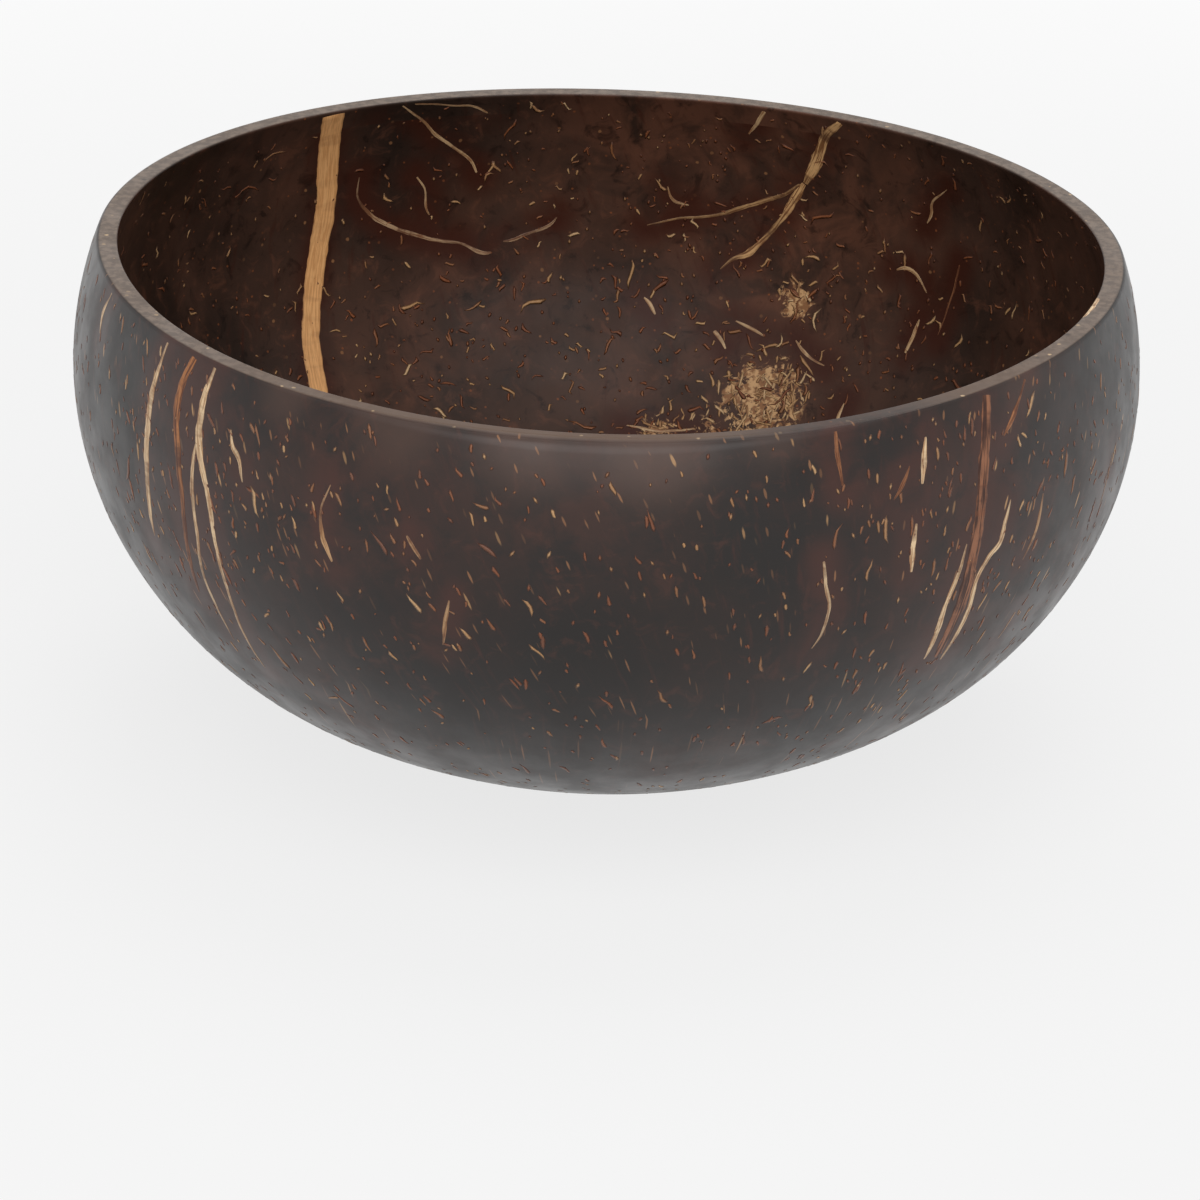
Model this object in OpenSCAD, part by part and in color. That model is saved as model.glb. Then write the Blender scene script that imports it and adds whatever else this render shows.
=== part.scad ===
// Bowl made of half a coconut shell. The hard wall is one revolved piece, cut level at the rim
// and ground flat underneath. The nut's own strands lie in shallow channels in its two skins.
// The origin is the middle of the foot, +Z is up and the front looks along -Y. A turn is an
// angle round the axis in degrees, 0 at the front and positive towards +X.

/* [Bowl] */
// Widest diameter across the outside
bowl_d = 140; // [120:1:165]
// Height from the ground foot to the cut rim
bowl_h = 67; // [58:1:80]
// Height of the rim above the widest ring
rim_rise = 16; // [8:0.5:20]
// How much larger the radius of the round bottom is than that of the widest ring
bottom_extra_r = 26; // [20:1:60]
// Depth ground off the round bottom to make the foot
foot_cut = 1.2; // [0.6:0.1:3]

/* [Wall] */
// Thickness of the wall at the widest ring
wall = 2.4; // [1.8:0.1:4]
// Thickness of the floor over the middle of the foot
floor_wall = 3.2; // [2.4:0.1:5]
// Rounding of the two edges of the cut rim
rim_round = 0.6; // [0.3:0.05:0.8]

/* [Strands] */
// Depth of the channels in the skins
strand_depth = 0.8; // [0.4:0.1:1.1]
// Clearance between a strand and the sides and floor of its channel
seat_gap = 0.05; // [0.02:0.01:0.15]
// Full width of the wide band inside
band_w = 3.4; // [2:0.1:6]
// Full width of the forked strand inside
fork_w = 1.6; // [1:0.1:3]
// Full width of a fine pale strand
fine_w = 1; // [0.6:0.1:2]
// Full width of a thick red-brown strand
brown_w = 2.2; // [1.2:0.1:4]
// Radius of the larger fibre patch inside
patch_r = 6.5; // [4:0.5:10]
// Width of the strand laid open along the rim
rim_strand_w = 0.9; // [0.5:0.1:1.2]
// Length of one arm of the knot beside the foot
knot_arm = 3.4; // [2:0.1:6]

/* [Hidden] */
$fn = 96;
// How far a cutting shape runs past the skin that it cuts
overrun = 2;
// The flank arc is this much larger than the tangent one, so that the two arcs cross
arc_lap = 0.02;

// Outer surface: a bottom arc centred on the axis, then a flank arc tangent to it
mid_r = bowl_d / 2;
mid_z = bowl_h - rim_rise;
bottom_r = mid_r + bottom_extra_r;
bottom_z = bottom_r - foot_cut;
flank_r = flank_radius(mid_r, bottom_r, bottom_z) + arc_lap;
flank_x = mid_r - flank_r;
// Inner surface: the same two arcs, set in by the wall at the widest ring and by the floor below
in_mid_r = mid_r - wall;
in_bottom_r = bottom_r - wall;
in_bottom_z = floor_wall + in_bottom_r;
in_flank_r = flank_radius(in_mid_r, in_bottom_r, in_bottom_z) + arc_lap;
in_flank_x = in_mid_r - in_flank_r;
// Middle of the two rim roundings
rim_round_z = bowl_h - rim_round;
rim_out_x = flank_x + sqrt(pow(flank_r - rim_round, 2) - pow(rim_round_z - mid_z, 2));
rim_in_x = in_flank_x + sqrt(pow(in_flank_r + rim_round, 2) - pow(rim_round_z - mid_z, 2));

// Each route is a list of [turn, height as a share of bowl_h, width as a share of full width]
band_shares = [[-144, 0.985, 1.08], [-144.8, 0.79, 1], [-143.4, 0.668, 0.93], [-141.8, 0.57, 0.9],
    [-140.6, 0.496, 0.9], [-139.8, 0.42, 0.85], [-139, 0.36, 0.5]];
fork_stem_shares = [[151.5, 0.985, 0.8], [153.6, 0.945, 1], [154.8, 0.888, 1.2], [156.6, 0.825, 1]];
fork_left_shares = [[156.8, 0.83, 0.6], [159.2, 0.798, 0.55], [163, 0.767, 0.45], [167.4, 0.735, 0.4],
    [171.2, 0.724, 0.3], [176, 0.7, 0.2]];
fork_low_shares = [[156.4, 0.835, 0.95], [158.2, 0.776, 0.9], [159.6, 0.735, 0.5], [161, 0.702, 0.55],
    [163, 0.663, 0.75], [164.6, 0.65, 0.4], [166.6, 0.619, 0.2]];
sag_shares = [[-149, 0.835, 0.3], [-149, 0.787, 0.4], [-150.4, 0.748, 0.8], [-153.2, 0.713, 0.8],
    [-156.6, 0.687, 0.8], [-159.6, 0.672, 0.6], [-162, 0.664, 0.4], [-164.2, 0.643, 0.6],
    [-166, 0.643, 0.5]];
sag_end_shares = [[-166.8, 0.664, 0.3], [-168.4, 0.667, 0.6], [-170.4, 0.681, 0.4],
    [-172.8, 0.698, 0.5], [-173.8, 0.72, 0.3]];
short_inner_shares = [
    [[-154, 0.98, 0.4], [-156, 0.953, 0.6], [-158.4, 0.909, 0.7], [-161, 0.873, 0.65],
        [-163, 0.842, 0.7], [-163.9, 0.81, 0.7]],
    [[-160, 0.98, 0.4], [-162.6, 0.974, 0.6], [-164.8, 0.953, 0.6]],
    [[-156.2, 0.82, 0.7], [-157.5, 0.785, 0.4], [-157.6, 0.745, 0.6], [-158.2, 0.723, 0.4]],
    [[175.7, 0.557, 0.5], [174.7, 0.543, 0.9], [173.7, 0.517, 0.5]],
    [[166.4, 0.505, 1.2], [165.2, 0.488, 0.8], [164.1, 0.466, 0.6]],
    [[163.9, 0.527, 0.6], [161.5, 0.516, 0.6], [159.1, 0.501, 0.5]],
    [[155.6, 0.51, 0.4], [154.1, 0.489, 0.8], [152.6, 0.477, 0.5], [150.4, 0.468, 0.4]],
    [[144.1, 0.682, 0.6], [142.8, 0.693, 0.9], [141.2, 0.688, 0.7], [139, 0.65, 0.4]],
    [[139.5, 0.604, 0.4], [139.9, 0.57, 0.9], [140.5, 0.522, 0.8]],
    [[173.4, 0.795, 0.4], [172.6, 0.762, 0.6], [170.2, 0.751, 0.4]],
    [[161.4, 0.98, 0.8], [162, 0.963, 1], [163.6, 0.922, 0.4]],
    [[136.7, 0.896, 0.3], [139.2, 0.854, 0.5], [139.5, 0.826, 0.8], [140.3, 0.795, 0.4]],
    [[135.1, 0.738, 0.6], [135.4, 0.7, 0.5], [136.6, 0.573, 0.3]],
    [[146.4, 0.418, 0.4], [146.5, 0.385, 0.8], [146, 0.35, 0.4]],
    [[177, 0.325, 0.5], [171, 0.32, 1.1], [166, 0.33, 0.6]]];
left_fine_shares = [
    [[-56.2, 0.97, 0.4], [-56.8, 0.9, 0.8], [-57, 0.825, 1.05], [-57, 0.695, 0.9], [-57.2, 0.63, 0.7],
        [-57.2, 0.586, 0.3]],
    [[-47, 0.98, 0.5], [-47.5, 0.93, 0.9], [-47.4, 0.86, 1.2], [-46.4, 0.798, 0.9], [-45.2, 0.739, 0.8],
        [-44.6, 0.654, 0.8], [-43.9, 0.55, 0.6], [-43.4, 0.449, 0.5], [-42.4, 0.38, 0.3]],
    [[-47.6, 0.85, 0.6], [-48.1, 0.789, 0.7], [-48, 0.722, 0.8], [-47.7, 0.654, 0.7], [-48, 0.572, 0.6],
        [-47, 0.491, 0.5], [-46.2, 0.423, 0.3]],
    [[-73, 0.975, 0.4], [-73.6, 0.945, 0.9], [-72.8, 0.9, 0.4]]];
left_brown_shares = [[-50.8, 0.98, 0.5], [-51.7, 0.93, 0.5], [-51.6, 0.87, 0.55], [-50.7, 0.8, 0.5],
    [-49.9, 0.7, 0.4], [-50.1, 0.6, 0.3], [-50, 0.51, 0.2]];
front_shares = [
    [[-28.6, 0.86, 0.4], [-29.6, 0.8, 0.6], [-29.3, 0.755, 1], [-28, 0.7, 0.4]],
    [[-42.7, 0.9, 0.4], [-42, 0.867, 0.8], [-40.8, 0.845, 0.7], [-40, 0.8, 0.4]],
    [[-19.8, 0.795, 0.5], [-18.9, 0.77, 0.9], [-17.9, 0.744, 0.4]],
    [[-15, 0.68, 0.4], [-15.6, 0.62, 0.6], [-16, 0.57, 0.3]],
    [[23.2, 0.76, 0.3], [23.6, 0.708, 0.7], [24.3, 0.655, 0.7], [23.9, 0.605, 0.3]],
    [[25, 0.975, 0.5], [25, 0.95, 0.7], [25.2, 0.92, 0.6], [25.5, 0.885, 0.3]]];
main_brown_shares = [[45.6, 0.98, 0.8], [44.6, 0.915, 0.9], [43.8, 0.847, 0.9], [43.2, 0.76, 0.95],
    [42.6, 0.68, 1.05], [42.2, 0.63, 1], [42, 0.57, 0.7], [41.8, 0.5, 0.3]];
right_fine_shares = [
    [[41, 0.73, 0.4], [40.5, 0.65, 0.7], [39.9, 0.6, 0.7], [39.6, 0.52, 0.3]],
    [[48.2, 0.785, 0.4], [47.4, 0.739, 0.8], [46.8, 0.7, 1], [45.4, 0.675, 0.8], [44.7, 0.64, 0.8],
        [44.2, 0.586, 0.6], [43.6, 0.53, 0.3]],
    [[36.2, 0.955, 0.5], [35.6, 0.908, 1.1], [35.2, 0.86, 0.4]],
    [[34.4, 0.798, 0.4], [34, 0.75, 1.1], [34, 0.69, 0.5]],
    [[33.8, 0.91, 0.3], [32.7, 0.875, 0.6], [31.2, 0.845, 0.3]],
    [[51.3, 0.967, 0.4], [49.2, 0.932, 0.9], [47.2, 0.903, 0.4]],
    [[53.9, 0.768, 0.4], [53.2, 0.69, 0.7], [51.4, 0.632, 0.3]],
    [[54, 0.512, 0.5], [52.6, 0.447, 0.3]],
    [[71, 0.75, 0.4], [69, 0.64, 0.3]]];
back_shares = [
    [[136, 0.96, 0.4], [138, 0.84, 0.9], [137, 0.7, 1], [139, 0.57, 0.8], [138, 0.44, 0.3]],
    [[141, 0.9, 0.4], [142, 0.76, 0.8], [143, 0.6, 0.3]],
    [[176, 0.9, 0.4], [174, 0.8, 1], [175, 0.7, 0.9], [173, 0.58, 0.3]],
    [[-158, 0.95, 0.4], [-156, 0.82, 1], [-157, 0.68, 0.8], [-155, 0.5, 0.3]],
    [[-118, 0.86, 0.4], [-116, 0.74, 0.9], [-117, 0.6, 0.3]],
    [[104, 0.8, 0.4], [103, 0.68, 0.9], [104, 0.58, 0.3]]];
back_brown_shares = [[-150, 0.97, 0.4], [-149, 0.85, 0.8], [-150, 0.72, 0.9], [-148, 0.55, 0.3]];

// Underside routes are lists of [turn, distance from the axis as a share of mid_r, width share]
underside_shares = [
    [[-118, 0.8, 0.4], [-121, 0.64, 1], [-122, 0.47, 0.9], [-128, 0.3, 0.3]],
    [[-104, 0.82, 0.4], [-106, 0.66, 0.9], [-105, 0.52, 0.8], [-110, 0.4, 0.3]],
    [[-92, 0.74, 0.4], [-90, 0.6, 0.9], [-91, 0.48, 0.3]],
    [[158, 0.78, 0.4], [162, 0.62, 0.9], [160, 0.5, 0.4]],
    [[-25, 0.5, 0.4], [-18, 0.45, 0.8], [-14, 0.36, 0.4]],
    [[96, 0.7, 0.3], [99, 0.6, 0.8], [98, 0.48, 0.3]]];
underside_brown_shares = [[62, 0.8, 0.3], [58, 0.68, 0.9], [56, 0.55, 0.7], [57, 0.43, 0.2]];

// The ragged outline of a fibre patch, in shares of its radius
patch_shares = [[0.95, 0.45], [0.62, 0.5], [0.6, 0.9], [0.3, 0.66], [0.05, 0.95], [-0.2, 0.66],
    [-0.5, 0.7], [-0.62, 0.48], [-1, 0.35], [-0.72, 0.05], [-1.05, -0.25], [-0.66, -0.35],
    [-0.75, -0.85], [-0.3, -0.66], [0, -1], [0.25, -0.7], [0.7, -0.82], [0.68, -0.4],
    [1.02, -0.15], [0.76, 0.1]];
patch_place_shares = [158, 0.4];
small_patch_place_shares = [156, 0.585];
small_patch_share = 0.34;
// Where the saw laid a strand open along the rim, first and last turn
rim_strand_turns = [66, 81];
// The knot lies just outside the foot
knot_turn = 35;
knot_place_share = 0.29;
knot_arm_turns = [20, 160, 265];
knot_arm_shares = [0.8, 1, 1.5];
knot_width_share = 0.36;

// Radius of the flank arc that is tangent to a bottom arc and passes through the widest ring
function flank_radius(ring_r, arc_r, arc_z) =
    (pow(arc_r, 2) - pow(ring_r, 2) - pow(arc_z - mid_z, 2)) / (2 * (arc_r - ring_r));

// Height at which the bottom arc passes into the flank arc
function joint_z(arc_r, arc_z, side_x) =
    arc_z - arc_r * (arc_z - mid_z) / norm([side_x, arc_z - mid_z]);

// Distance of a surface from the axis at one height
function radius_at(z, arc_r, arc_z, side_x, side_r) =
    z < joint_z(arc_r, arc_z, side_x)
    ? sqrt(pow(arc_r, 2) - pow(arc_z - z, 2))
    : side_x + sqrt(pow(side_r, 2) - pow(z - mid_z, 2));
function out_radius_at(z) = radius_at(z, bottom_r, bottom_z, flank_x, flank_r);
function in_radius_at(z) = radius_at(z, in_bottom_r, in_bottom_z, in_flank_x, in_flank_r);

// Middle line of a wall route, flat, as it is seen from outside on the turn of its middle
function middle_turn(route) = (route[0][0] + route[len(route) - 1][0]) / 2;
function wall_line(route, inside) = [for (p = route)
    let (z = p[1] * bowl_h, r = inside ? in_radius_at(z) : out_radius_at(z))
    [r * sin(p[0] - middle_turn(route)), z]];
// Middle line of an underside route in plan
function plan_line(route) = [for (p = route) mid_r * p[1] * [sin(p[0]), -cos(p[0])]];

// Direction of a line at point i, and the outline of a ribbon that follows the line
function heading(line, i) =
    let (a = line[max(i - 1, 0)], b = line[min(i + 1, len(line) - 1)]) (b - a) / norm(b - a);
function side_point(line, i, half) = line[i] + half * [-heading(line, i)[1], heading(line, i)[0]];
function ribbon(line, route, w, extra) = concat(
    [for (i = [0 : len(line) - 1]) side_point(line, i, route[i][2] * w / 2 + extra)],
    [for (i = [len(line) - 1 : -1 : 0]) side_point(line, i, -route[i][2] * w / 2 - extra)]);

// Flat region inside a bottom arc and the flank arc that crosses it: above the crossing the flank
// arc bounds it, below it the bottom arc alone
module round_region(arc_r, arc_z, side_x, side_r) {
    far = arc_r + side_r;
    cross_z = joint_z(arc_r, arc_z, side_x);
    intersection() {
        translate([0, arc_z]) circle(arc_r);
        union() {
            translate([side_x, mid_z]) circle(side_r);
            translate([0, -far]) square([far, cross_z + far]);
            translate([0, -far]) square([side_x, 2 * far]);
        }
        translate([0, -far]) square([far, 2 * far]);
    }
}
// The outer region grown outwards, and the inner region grown into the wall
module out_region(grow) {
    round_region(bottom_r + grow, bottom_z, flank_x, flank_r + grow);
}
module in_region(grow) {
    round_region(in_bottom_r + grow, in_bottom_z, in_flank_x, in_flank_r + grow);
}

// Waste outside the rounding of a rim edge; side is 1 at the outer edge and -1 at the inner one
module rim_corner(round_x, flank_mid_x, side) {
    middle = [round_x, rim_round_z];
    way = side * (middle - [flank_mid_x, mid_z]) / norm(middle - [flank_mid_x, mid_z]);
    touch = middle + (rim_round + overrun) * way;
    difference() {
        polygon([middle, touch, [touch[0], bowl_h + overrun], [round_x, bowl_h + overrun]]);
        translate(middle) circle(rim_round);
    }
}

// Section of the bare wall
module wall_section() {
    difference() {
        intersection() {
            out_region(0);
            square([mid_r + overrun, bowl_h]);
        }
        in_region(0);
        rim_corner(rim_out_x, flank_x, 1);
        rim_corner(rim_in_x, in_flank_x, -1);
    }
}

// Skin layers: one strand deep in the wall, and out past the surface for the cutting shapes
module out_layer(depth, proud) {
    rotate_extrude() intersection() {
        difference() {
            out_region(proud);
            out_region(-depth);
        }
        translate([0, -overrun]) square([mid_r + 2 * overrun, bowl_h + 2 * overrun]);
    }
}
module in_layer(depth, proud) {
    rotate_extrude() intersection() {
        difference() {
            in_region(depth);
            in_region(-proud);
        }
        square([mid_r, bowl_h + overrun]);
    }
}

// Prism of a wall route, level, from just inside the wall to just outside it
module wall_prism(route, w, inside, extra) {
    line = wall_line(route, inside);
    near = min([for (p = line) sqrt(pow(in_radius_at(p[1]), 2) - pow(p[0], 2))]) - 2 * overrun;
    rotate([0, 0, middle_turn(route)]) rotate([90, 0, 0]) translate([0, 0, near])
        linear_extrude(mid_r + overrun - near) polygon(ribbon(line, route, w, extra));
}
// Prism of an underside route, up through the bottom
module plan_prism(route, w, extra) {
    translate([0, 0, -overrun]) linear_extrude(mid_z / 2)
        polygon(ribbon(plan_line(route), route, w, extra));
}
// Prism of a ragged patch on the inner wall
module patch_prism(place, r, extra) {
    near = in_radius_at(place[1] * bowl_h) / 2;
    rotate([0, 0, place[0]]) rotate([90, 0, 0]) translate([0, place[1] * bowl_h, near])
        linear_extrude(mid_r + overrun - near)
            polygon([for (p = patch_shares) (r + extra) * p]);
}
// Prism of the knot: three tapering arms
module knot_prism(extra) {
    half = knot_width_share * knot_arm / 2 + extra;
    rotate([0, 0, knot_turn]) translate([0, -knot_place_share * mid_r, -overrun])
        for (i = [0 : len(knot_arm_turns) - 1]) {
            reach = knot_arm * knot_arm_shares[i] + extra;
            rotate([0, 0, knot_arm_turns[i]]) linear_extrude(mid_z / 2)
                polygon([[-half, -half], [reach, -half / 2], [reach, half / 2], [-half, half]]);
        }
}

// The prisms of each node; extra is the clearance that a channel has round its strand
module wide_inner_prisms(extra) wall_prism(band_shares, band_w, true, extra);
module forked_inner_prisms(extra) {
    for (route = [fork_stem_shares, fork_left_shares, fork_low_shares])
        wall_prism(route, fork_w, true, extra);
}
module curved_inner_prisms(extra) {
    for (route = [sag_shares, sag_end_shares]) wall_prism(route, fine_w, true, extra);
}
module short_inner_prisms(extra) {
    for (route = short_inner_shares) wall_prism(route, fine_w, true, extra);
}
module patch_prisms(extra) {
    patch_prism(patch_place_shares, patch_r, extra);
    patch_prism(small_patch_place_shares, patch_r * small_patch_share, extra);
}
module left_outer_prisms(extra) {
    for (route = left_fine_shares) wall_prism(route, fine_w, false, extra);
    wall_prism(left_brown_shares, brown_w, false, extra);
}
module front_outer_prisms(extra) {
    for (route = front_shares) wall_prism(route, fine_w, false, extra);
}
module right_outer_prisms(extra) {
    for (route = right_fine_shares) wall_prism(route, fine_w, false, extra);
    wall_prism(main_brown_shares, brown_w, false, extra);
}
module back_outer_prisms(extra) {
    for (route = back_shares) wall_prism(route, fine_w, false, extra);
    wall_prism(back_brown_shares, brown_w, false, extra);
}
module underside_prisms(extra) {
    for (route = underside_shares) plan_prism(route, fine_w, extra);
    plan_prism(underside_brown_shares, brown_w, extra);
}

// Ring sector at the inner edge of the rim
module rim_strand_ring(extra) {
    low = rim_round + rim_strand_w + extra;
    rotate([0, 0, rim_strand_turns[0] - 90 - extra]) rotate_extrude(
        angle = rim_strand_turns[1] - rim_strand_turns[0] + 2 * extra)
        translate([rim_in_x - rim_round - overrun, bowl_h - low])
            square([rim_strand_w + overrun + extra, low + extra]);
}

module shell() color("#38231b") difference() {
    rotate_extrude() wall_section();
    intersection() {
        out_layer(strand_depth, overrun);
        union() {
            left_outer_prisms(seat_gap);
            front_outer_prisms(seat_gap);
            right_outer_prisms(seat_gap);
            back_outer_prisms(seat_gap);
            underside_prisms(seat_gap);
            knot_prism(seat_gap);
        }
    }
    intersection() {
        in_layer(strand_depth, overrun);
        union() {
            wide_inner_prisms(seat_gap);
            forked_inner_prisms(seat_gap);
            curved_inner_prisms(seat_gap);
            short_inner_prisms(seat_gap);
            patch_prisms(seat_gap);
        }
    }
    rim_strand_ring(seat_gap);
}

// A strand fills its channel, flush with the skin of the shell
module inner_strand() intersection() {
    in_layer(strand_depth - seat_gap, 0);
    children();
}
module outer_strand() intersection() {
    out_layer(strand_depth - seat_gap, 0);
    children();
}
module wide_inner_strand() color("#c3935a") inner_strand() wide_inner_prisms(0);
module forked_inner_strand() color("#b98a55") inner_strand() forked_inner_prisms(0);
module curved_inner_strand() color("#d8b98c") inner_strand() curved_inner_prisms(0);
module short_inner_strands() color("#d0a878") inner_strand() short_inner_prisms(0);
module inner_fibre_patch() color("#bf9360") inner_strand() patch_prisms(0);
module rim_strand() color("#d8b98c") intersection() {
    rotate_extrude() wall_section();
    rim_strand_ring(0);
}
module left_outer_strands() color("#d9bf98") outer_strand() left_outer_prisms(0);
module front_outer_strands() color("#cda57a") outer_strand() front_outer_prisms(0);
module right_outer_strands() color("#8a5238") outer_strand() right_outer_prisms(0);
module back_outer_strands() color("#cfae84") outer_strand() back_outer_prisms(0);
module underside_strands() color("#d9bf98") intersection() {
    out_layer(strand_depth - seat_gap, 0);
    underside_prisms(0);
}
module foot_knot() color("#dcb987") intersection() {
    rotate_extrude() wall_section();
    out_layer(strand_depth - seat_gap, 0);
    knot_prism(0);
}

shell();
wide_inner_strand();
forked_inner_strand();
curved_inner_strand();
short_inner_strands();
inner_fibre_patch();
rim_strand();
left_outer_strands();
front_outer_strands();
right_outer_strands();
back_outer_strands();
underside_strands();
foot_knot();
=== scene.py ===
"""Coconut shell bowl: the polished outer and inner skins of the shell, its cut rim, the nut's own
strands grown into both skins, and the short fibre flecks that cover them."""

import math

import bpy
import numpy as np
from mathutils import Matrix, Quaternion, Vector
from mathutils.kdtree import KDTree


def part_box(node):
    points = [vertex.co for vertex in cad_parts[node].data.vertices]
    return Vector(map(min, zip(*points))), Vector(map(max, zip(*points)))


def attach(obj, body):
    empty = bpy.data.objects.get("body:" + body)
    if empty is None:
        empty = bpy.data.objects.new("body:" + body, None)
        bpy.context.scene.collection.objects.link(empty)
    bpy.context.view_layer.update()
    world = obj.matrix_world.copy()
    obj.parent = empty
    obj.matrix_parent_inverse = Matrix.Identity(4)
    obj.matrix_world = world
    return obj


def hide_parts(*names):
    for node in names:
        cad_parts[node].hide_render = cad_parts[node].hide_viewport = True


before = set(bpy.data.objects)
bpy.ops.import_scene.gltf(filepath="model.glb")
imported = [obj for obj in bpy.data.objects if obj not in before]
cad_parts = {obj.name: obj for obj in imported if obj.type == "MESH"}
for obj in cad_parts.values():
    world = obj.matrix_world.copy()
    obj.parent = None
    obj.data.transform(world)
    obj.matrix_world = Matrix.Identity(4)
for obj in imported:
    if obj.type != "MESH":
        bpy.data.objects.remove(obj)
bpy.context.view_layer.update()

# Sizes of the bowl, in metres
MM = 0.001
SHELL_LOW, SHELL_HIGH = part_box("shell")
MID_R = (SHELL_HIGH.x - SHELL_LOW.x) / 2
BOWL_H = SHELL_HIGH.z
RIM_RISE = 16 * MM
BOTTOM_EXTRA_R = 26 * MM
FOOT_CUT = 1.2 * MM
WALL = 2.4 * MM
FLOOR_WALL = 3.2 * MM
MID_Z = BOWL_H - RIM_RISE
OUTER_BACK = 1.45 * MM
INNER_BACK = 0.85 * MM
RING_H = 3.2 * MM

# The shell isn't truly round: three flat lobes, and slow swells along and round it
LOBE_COS = 0.0024
LOBE_SIN = 0.0153
SWELLS = [(2, 70.0, 0.4, 0.0010), (5, -90.0, 1.9, 0.0009), (7, 130.0, 4.1, 0.0006)]

# Fine steps of the meshes
STEPS_ROUND = 360
BOTTOM_STEPS = 64
FLANK_STEPS = 72
BACK_STEPS = 12

# The front of the rim is worn rounder than the sides
INNER_EASE = 0.45 * MM
SIDE_EASE = 0.4 * MM
FRONT_EASE = 1.5 * MM
FRONT_EASE_TURN = 46
# Here handling has polished the cut face as dark as the skins
RUBBED_TURN = 27
RUBBED_REACH = (6, 17)
RUBBED_SHARE = 0.8
# The cut face is browner round this turn than at the back
WORN_TURN = 8
WORN_REACH = (20, 75)


class Skin:
    """One face of the wall: a bottom arc centred on the axis, then the flank arc that meets it.
    A place on it is a turn round the axis and a length up the section from the axis."""

    def __init__(self, bottom_r, bottom_z, ring_r, low_z, side):
        self.bottom_r = bottom_r
        self.bottom_z = bottom_z
        self.low_z = low_z
        self.side = side
        self.flank_r = (bottom_r**2 - ring_r**2 - (bottom_z - MID_Z) ** 2) / (2 * (bottom_r - ring_r))
        self.flank_x = ring_r - self.flank_r
        self.joint = math.atan2(self.flank_x, bottom_z - MID_Z)
        self.joint_s = bottom_r * self.joint

    def at(self, s):
        """Radius, height and the two parts of the normal at a length up the section."""
        s = np.asarray(s, float)
        low = s < self.joint_s
        angle = np.where(low, s / self.bottom_r, self.joint + (s - self.joint_s) / self.flank_r)
        r = np.where(low, self.bottom_r * np.sin(angle), self.flank_x + self.flank_r * np.sin(angle))
        z = np.where(low, self.bottom_z - self.bottom_r * np.cos(angle), MID_Z - self.flank_r * np.cos(angle))
        flat = z < self.low_z
        out = np.where(flat, 0, np.sin(angle)) * self.side
        up = np.where(flat, -1, -np.cos(angle)) * self.side
        return r, np.maximum(z, self.low_z), out, up

    def of_height(self, z):
        """Length up the section at a height."""
        z = np.asarray(z, float)
        on_flank = self.joint_s + self.flank_r * (
            np.arccos(np.clip((MID_Z - z) / self.flank_r, -1, 1)) - self.joint)
        on_bottom = self.bottom_r * np.arccos(np.clip((self.bottom_z - z) / self.bottom_r, -1, 1))
        joint_z = MID_Z - self.flank_r * math.cos(self.joint)
        return np.where(z > joint_z, on_flank, on_bottom)

    def of_radius(self, r):
        """Length up the section at a distance from the axis, on the bottom arc."""
        return self.bottom_r * np.arcsin(np.asarray(r, float) / self.bottom_r)

    def radius_at(self, z):
        return self.at(self.of_height(z))[0]


OUTSIDE = Skin(MID_R + BOTTOM_EXTRA_R, MID_R + BOTTOM_EXTRA_R - FOOT_CUT, MID_R, 0, 1)
INSIDE = Skin(OUTSIDE.bottom_r - WALL, FLOOR_WALL + OUTSIDE.bottom_r - WALL, MID_R - WALL, FLOOR_WALL, -1)


def as_grown(points):
    """Moves points of the true round to where the lobed, slightly swelling shell has them."""
    x, y, z = points[..., 0], points[..., 1], points[..., 2]
    angle = np.arctan2(y, x)
    grow = 1 + LOBE_COS * np.cos(3 * angle) + LOBE_SIN * np.sin(3 * angle)
    for waves, rise, start, share in SWELLS:
        grow = grow + share * np.sin(waves * angle + rise * z + start)
    return np.stack([x * grow, y * grow, z], -1)


def ring_points(angle, r, z):
    """Points at angles round the axis, counted from the front."""
    return np.stack([r * np.sin(angle), -r * np.cos(angle), z], -1)


def angle_and_radius(points):
    return np.arctan2(points[:, 0], -points[:, 1]), np.hypot(points[:, 0], points[:, 1])


def place(skin, turn, s, lift):
    """Points at turns in degrees and lengths up the section, lifted off the skin."""
    r, z, out, up = skin.at(s)
    return as_grown(ring_points(np.radians(turn), r + out * lift, z + up * lift))


def smooth(low, high, value):
    """Goes softly from 0 at low to 1 at high."""
    share = np.clip((value - low) / (high - low), 0, 1)
    return share * share * (3 - 2 * share)


# Strands

BAND_W = 3.4 * MM
FORK_W = 1.45 * MM
FINE_W = 1 * MM
BROWN_W = 2.2 * MM
SHORT_W = 0.72 * MM
STRAND_STEP = 0.5 * MM
STRAND_THICK = 0.4 * MM
STRAND_PROUD = 0.022 * MM
STRAND_SUNK = 0.05 * MM
ACROSS = 8
RIM_REACH = 0.9925
# A route that starts above this share of the height runs out at the rim
AT_RIM = 0.96

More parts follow.
